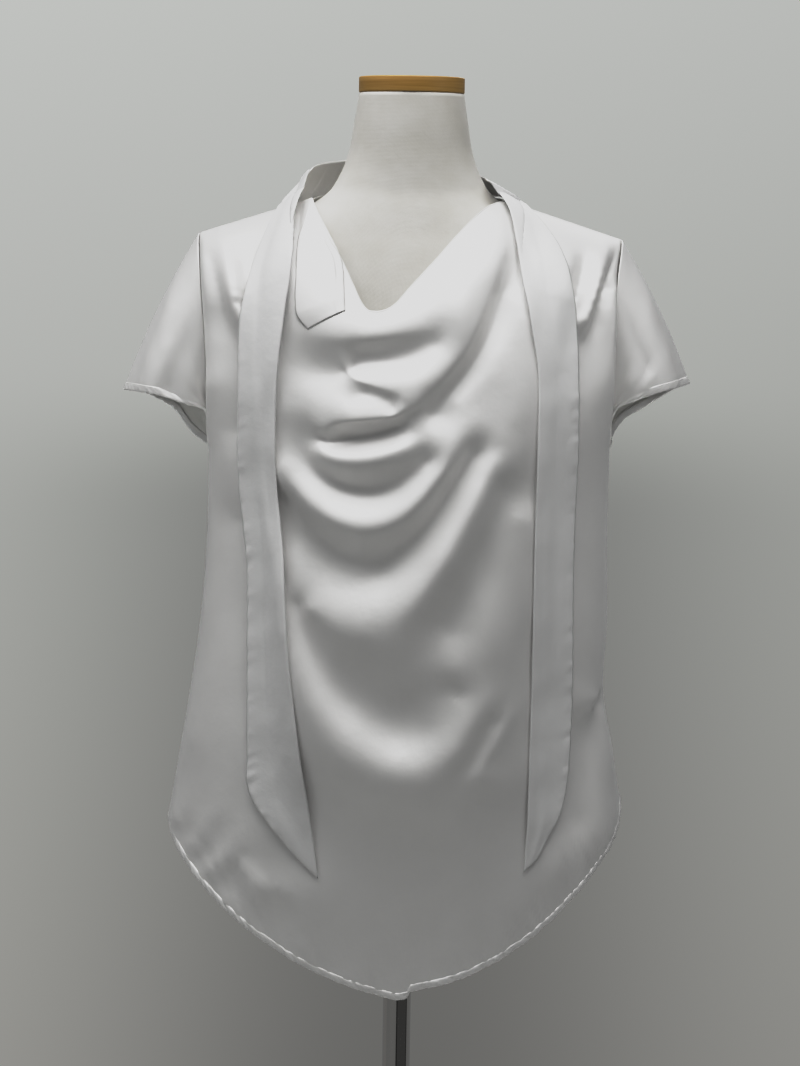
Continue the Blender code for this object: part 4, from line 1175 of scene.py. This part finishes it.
frontFacing = addDouble("frontFacing", facingGrid(), facingPiece["half"], [satinFace])
ridesAs(frontFacing)
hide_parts("front_facing")
print("facing is made")


# dress form: padded torso, wood cap, pole and base

torsoPiece = {"sides": 160, "rows": 220, "inside": (0.0, 0.0, 1.1)}

ringTurn = np.linspace(0.0, 2.0 * math.pi, torsoPiece["sides"], endpoint=False)[None, :]
ringShare = np.linspace(1.0, 0.0, torsoPiece["rows"])[:, None]
ringHeight = torsoRings[0, 0] + (torsoRings[-1, 0] - torsoRings[0, 0]) * ringShare
ringHalf = readTable(torsoRings, 1, ringHeight)
ringCos, ringSin = np.cos(ringTurn), np.sin(ringTurn)
ringFront, ringBack = readTable(torsoRings, 2, ringHeight), readTable(torsoRings, 3, ringHeight)
ringDepth = np.where(ringSin > 0.0, ringBack, ringFront)
torsoGrid = np.stack([
    ringHalf * np.sign(ringCos) * np.abs(ringCos) ** (2.0 / torsoPower),
    ringDepth * np.sign(ringSin) * np.abs(ringSin) ** (2.0 / torsoPower),
    ringHeight + 0.0 * ringCos,
], axis=-1)
torso = addCloth("paddedTorso", torsoGrid, torsoPiece["inside"], [formLinen], closed=True)
editWhole(torso, lambda: bpy.ops.mesh.fill_holes(sides=0))
ridesAs(torso)
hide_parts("torso")


def turnedPiece(name, node, sides, edge, finish):
    # a round bar or plate with eased edges, as big as its solid
    low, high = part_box(node)
    height = high[2] - low[2]
    bpy.ops.mesh.primitive_cylinder_add(
        vertices=sides, radius=high[0], depth=height, location=(0.0, 0.0, (low[2] + high[2]) / 2.0))
    piece = bpy.context.active_object
    piece.name = name
    bpy.ops.object.transform_apply(location=True, rotation=True, scale=True)
    bpy.ops.object.mode_set(mode="EDIT")
    bpy.ops.mesh.select_mode(type="FACE")
    bpy.ops.mesh.select_all(action="DESELECT")
    bpy.ops.object.mode_set(mode="OBJECT")
    for face in piece.data.polygons:
        face.select = abs(face.normal.z) > 0.9
    bpy.ops.object.mode_set(mode="EDIT")
    bpy.ops.mesh.bevel(offset=edge, segments=4, affect="EDGES")
    bpy.ops.object.mode_set(mode="OBJECT")
    piece.data.materials.clear()
    piece.data.materials.append(finish)
    bpy.ops.object.shade_smooth_by_angle(angle=math.radians(32.0))
    piece.select_set(False)
    ridesAs(piece)
    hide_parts(node)


turnedPiece("neckCap", "neck_cap", 128, 0.0012, capWood)
turnedPiece("poleTube", "pole", 64, 0.0008, poleChrome)
turnedPiece("poleCollar", "pole_collar", 64, 0.0015, poleChrome)
turnedPiece("basePlate", "base", 160, 0.003, baseSteel)
print("dress form is made")


# floor

floorSettings = {"radius": 1.55, "colour": (0.76, 0.76, 0.745), "roughness": 0.8, "below": 0.0002}

bpy.ops.mesh.primitive_circle_add(vertices=128, radius=floorSettings["radius"], fill_type="NGON",
                                  location=(0.0, 0.0, -floorSettings["below"]))
floor = bpy.context.active_object
floor.name = "floor"
bpy.ops.object.transform_apply(location=True)
floorPaint = bpy.data.materials.new("floorPaint")
floorPaint.use_nodes = True
floorShader = floorPaint.node_tree.nodes["Principled BSDF"]
floorShader.inputs["Base Color"].default_value = (*floorSettings["colour"], 1.0)
floorShader.inputs["Roughness"].default_value = floorSettings["roughness"]
floor.data.materials.append(floorPaint)
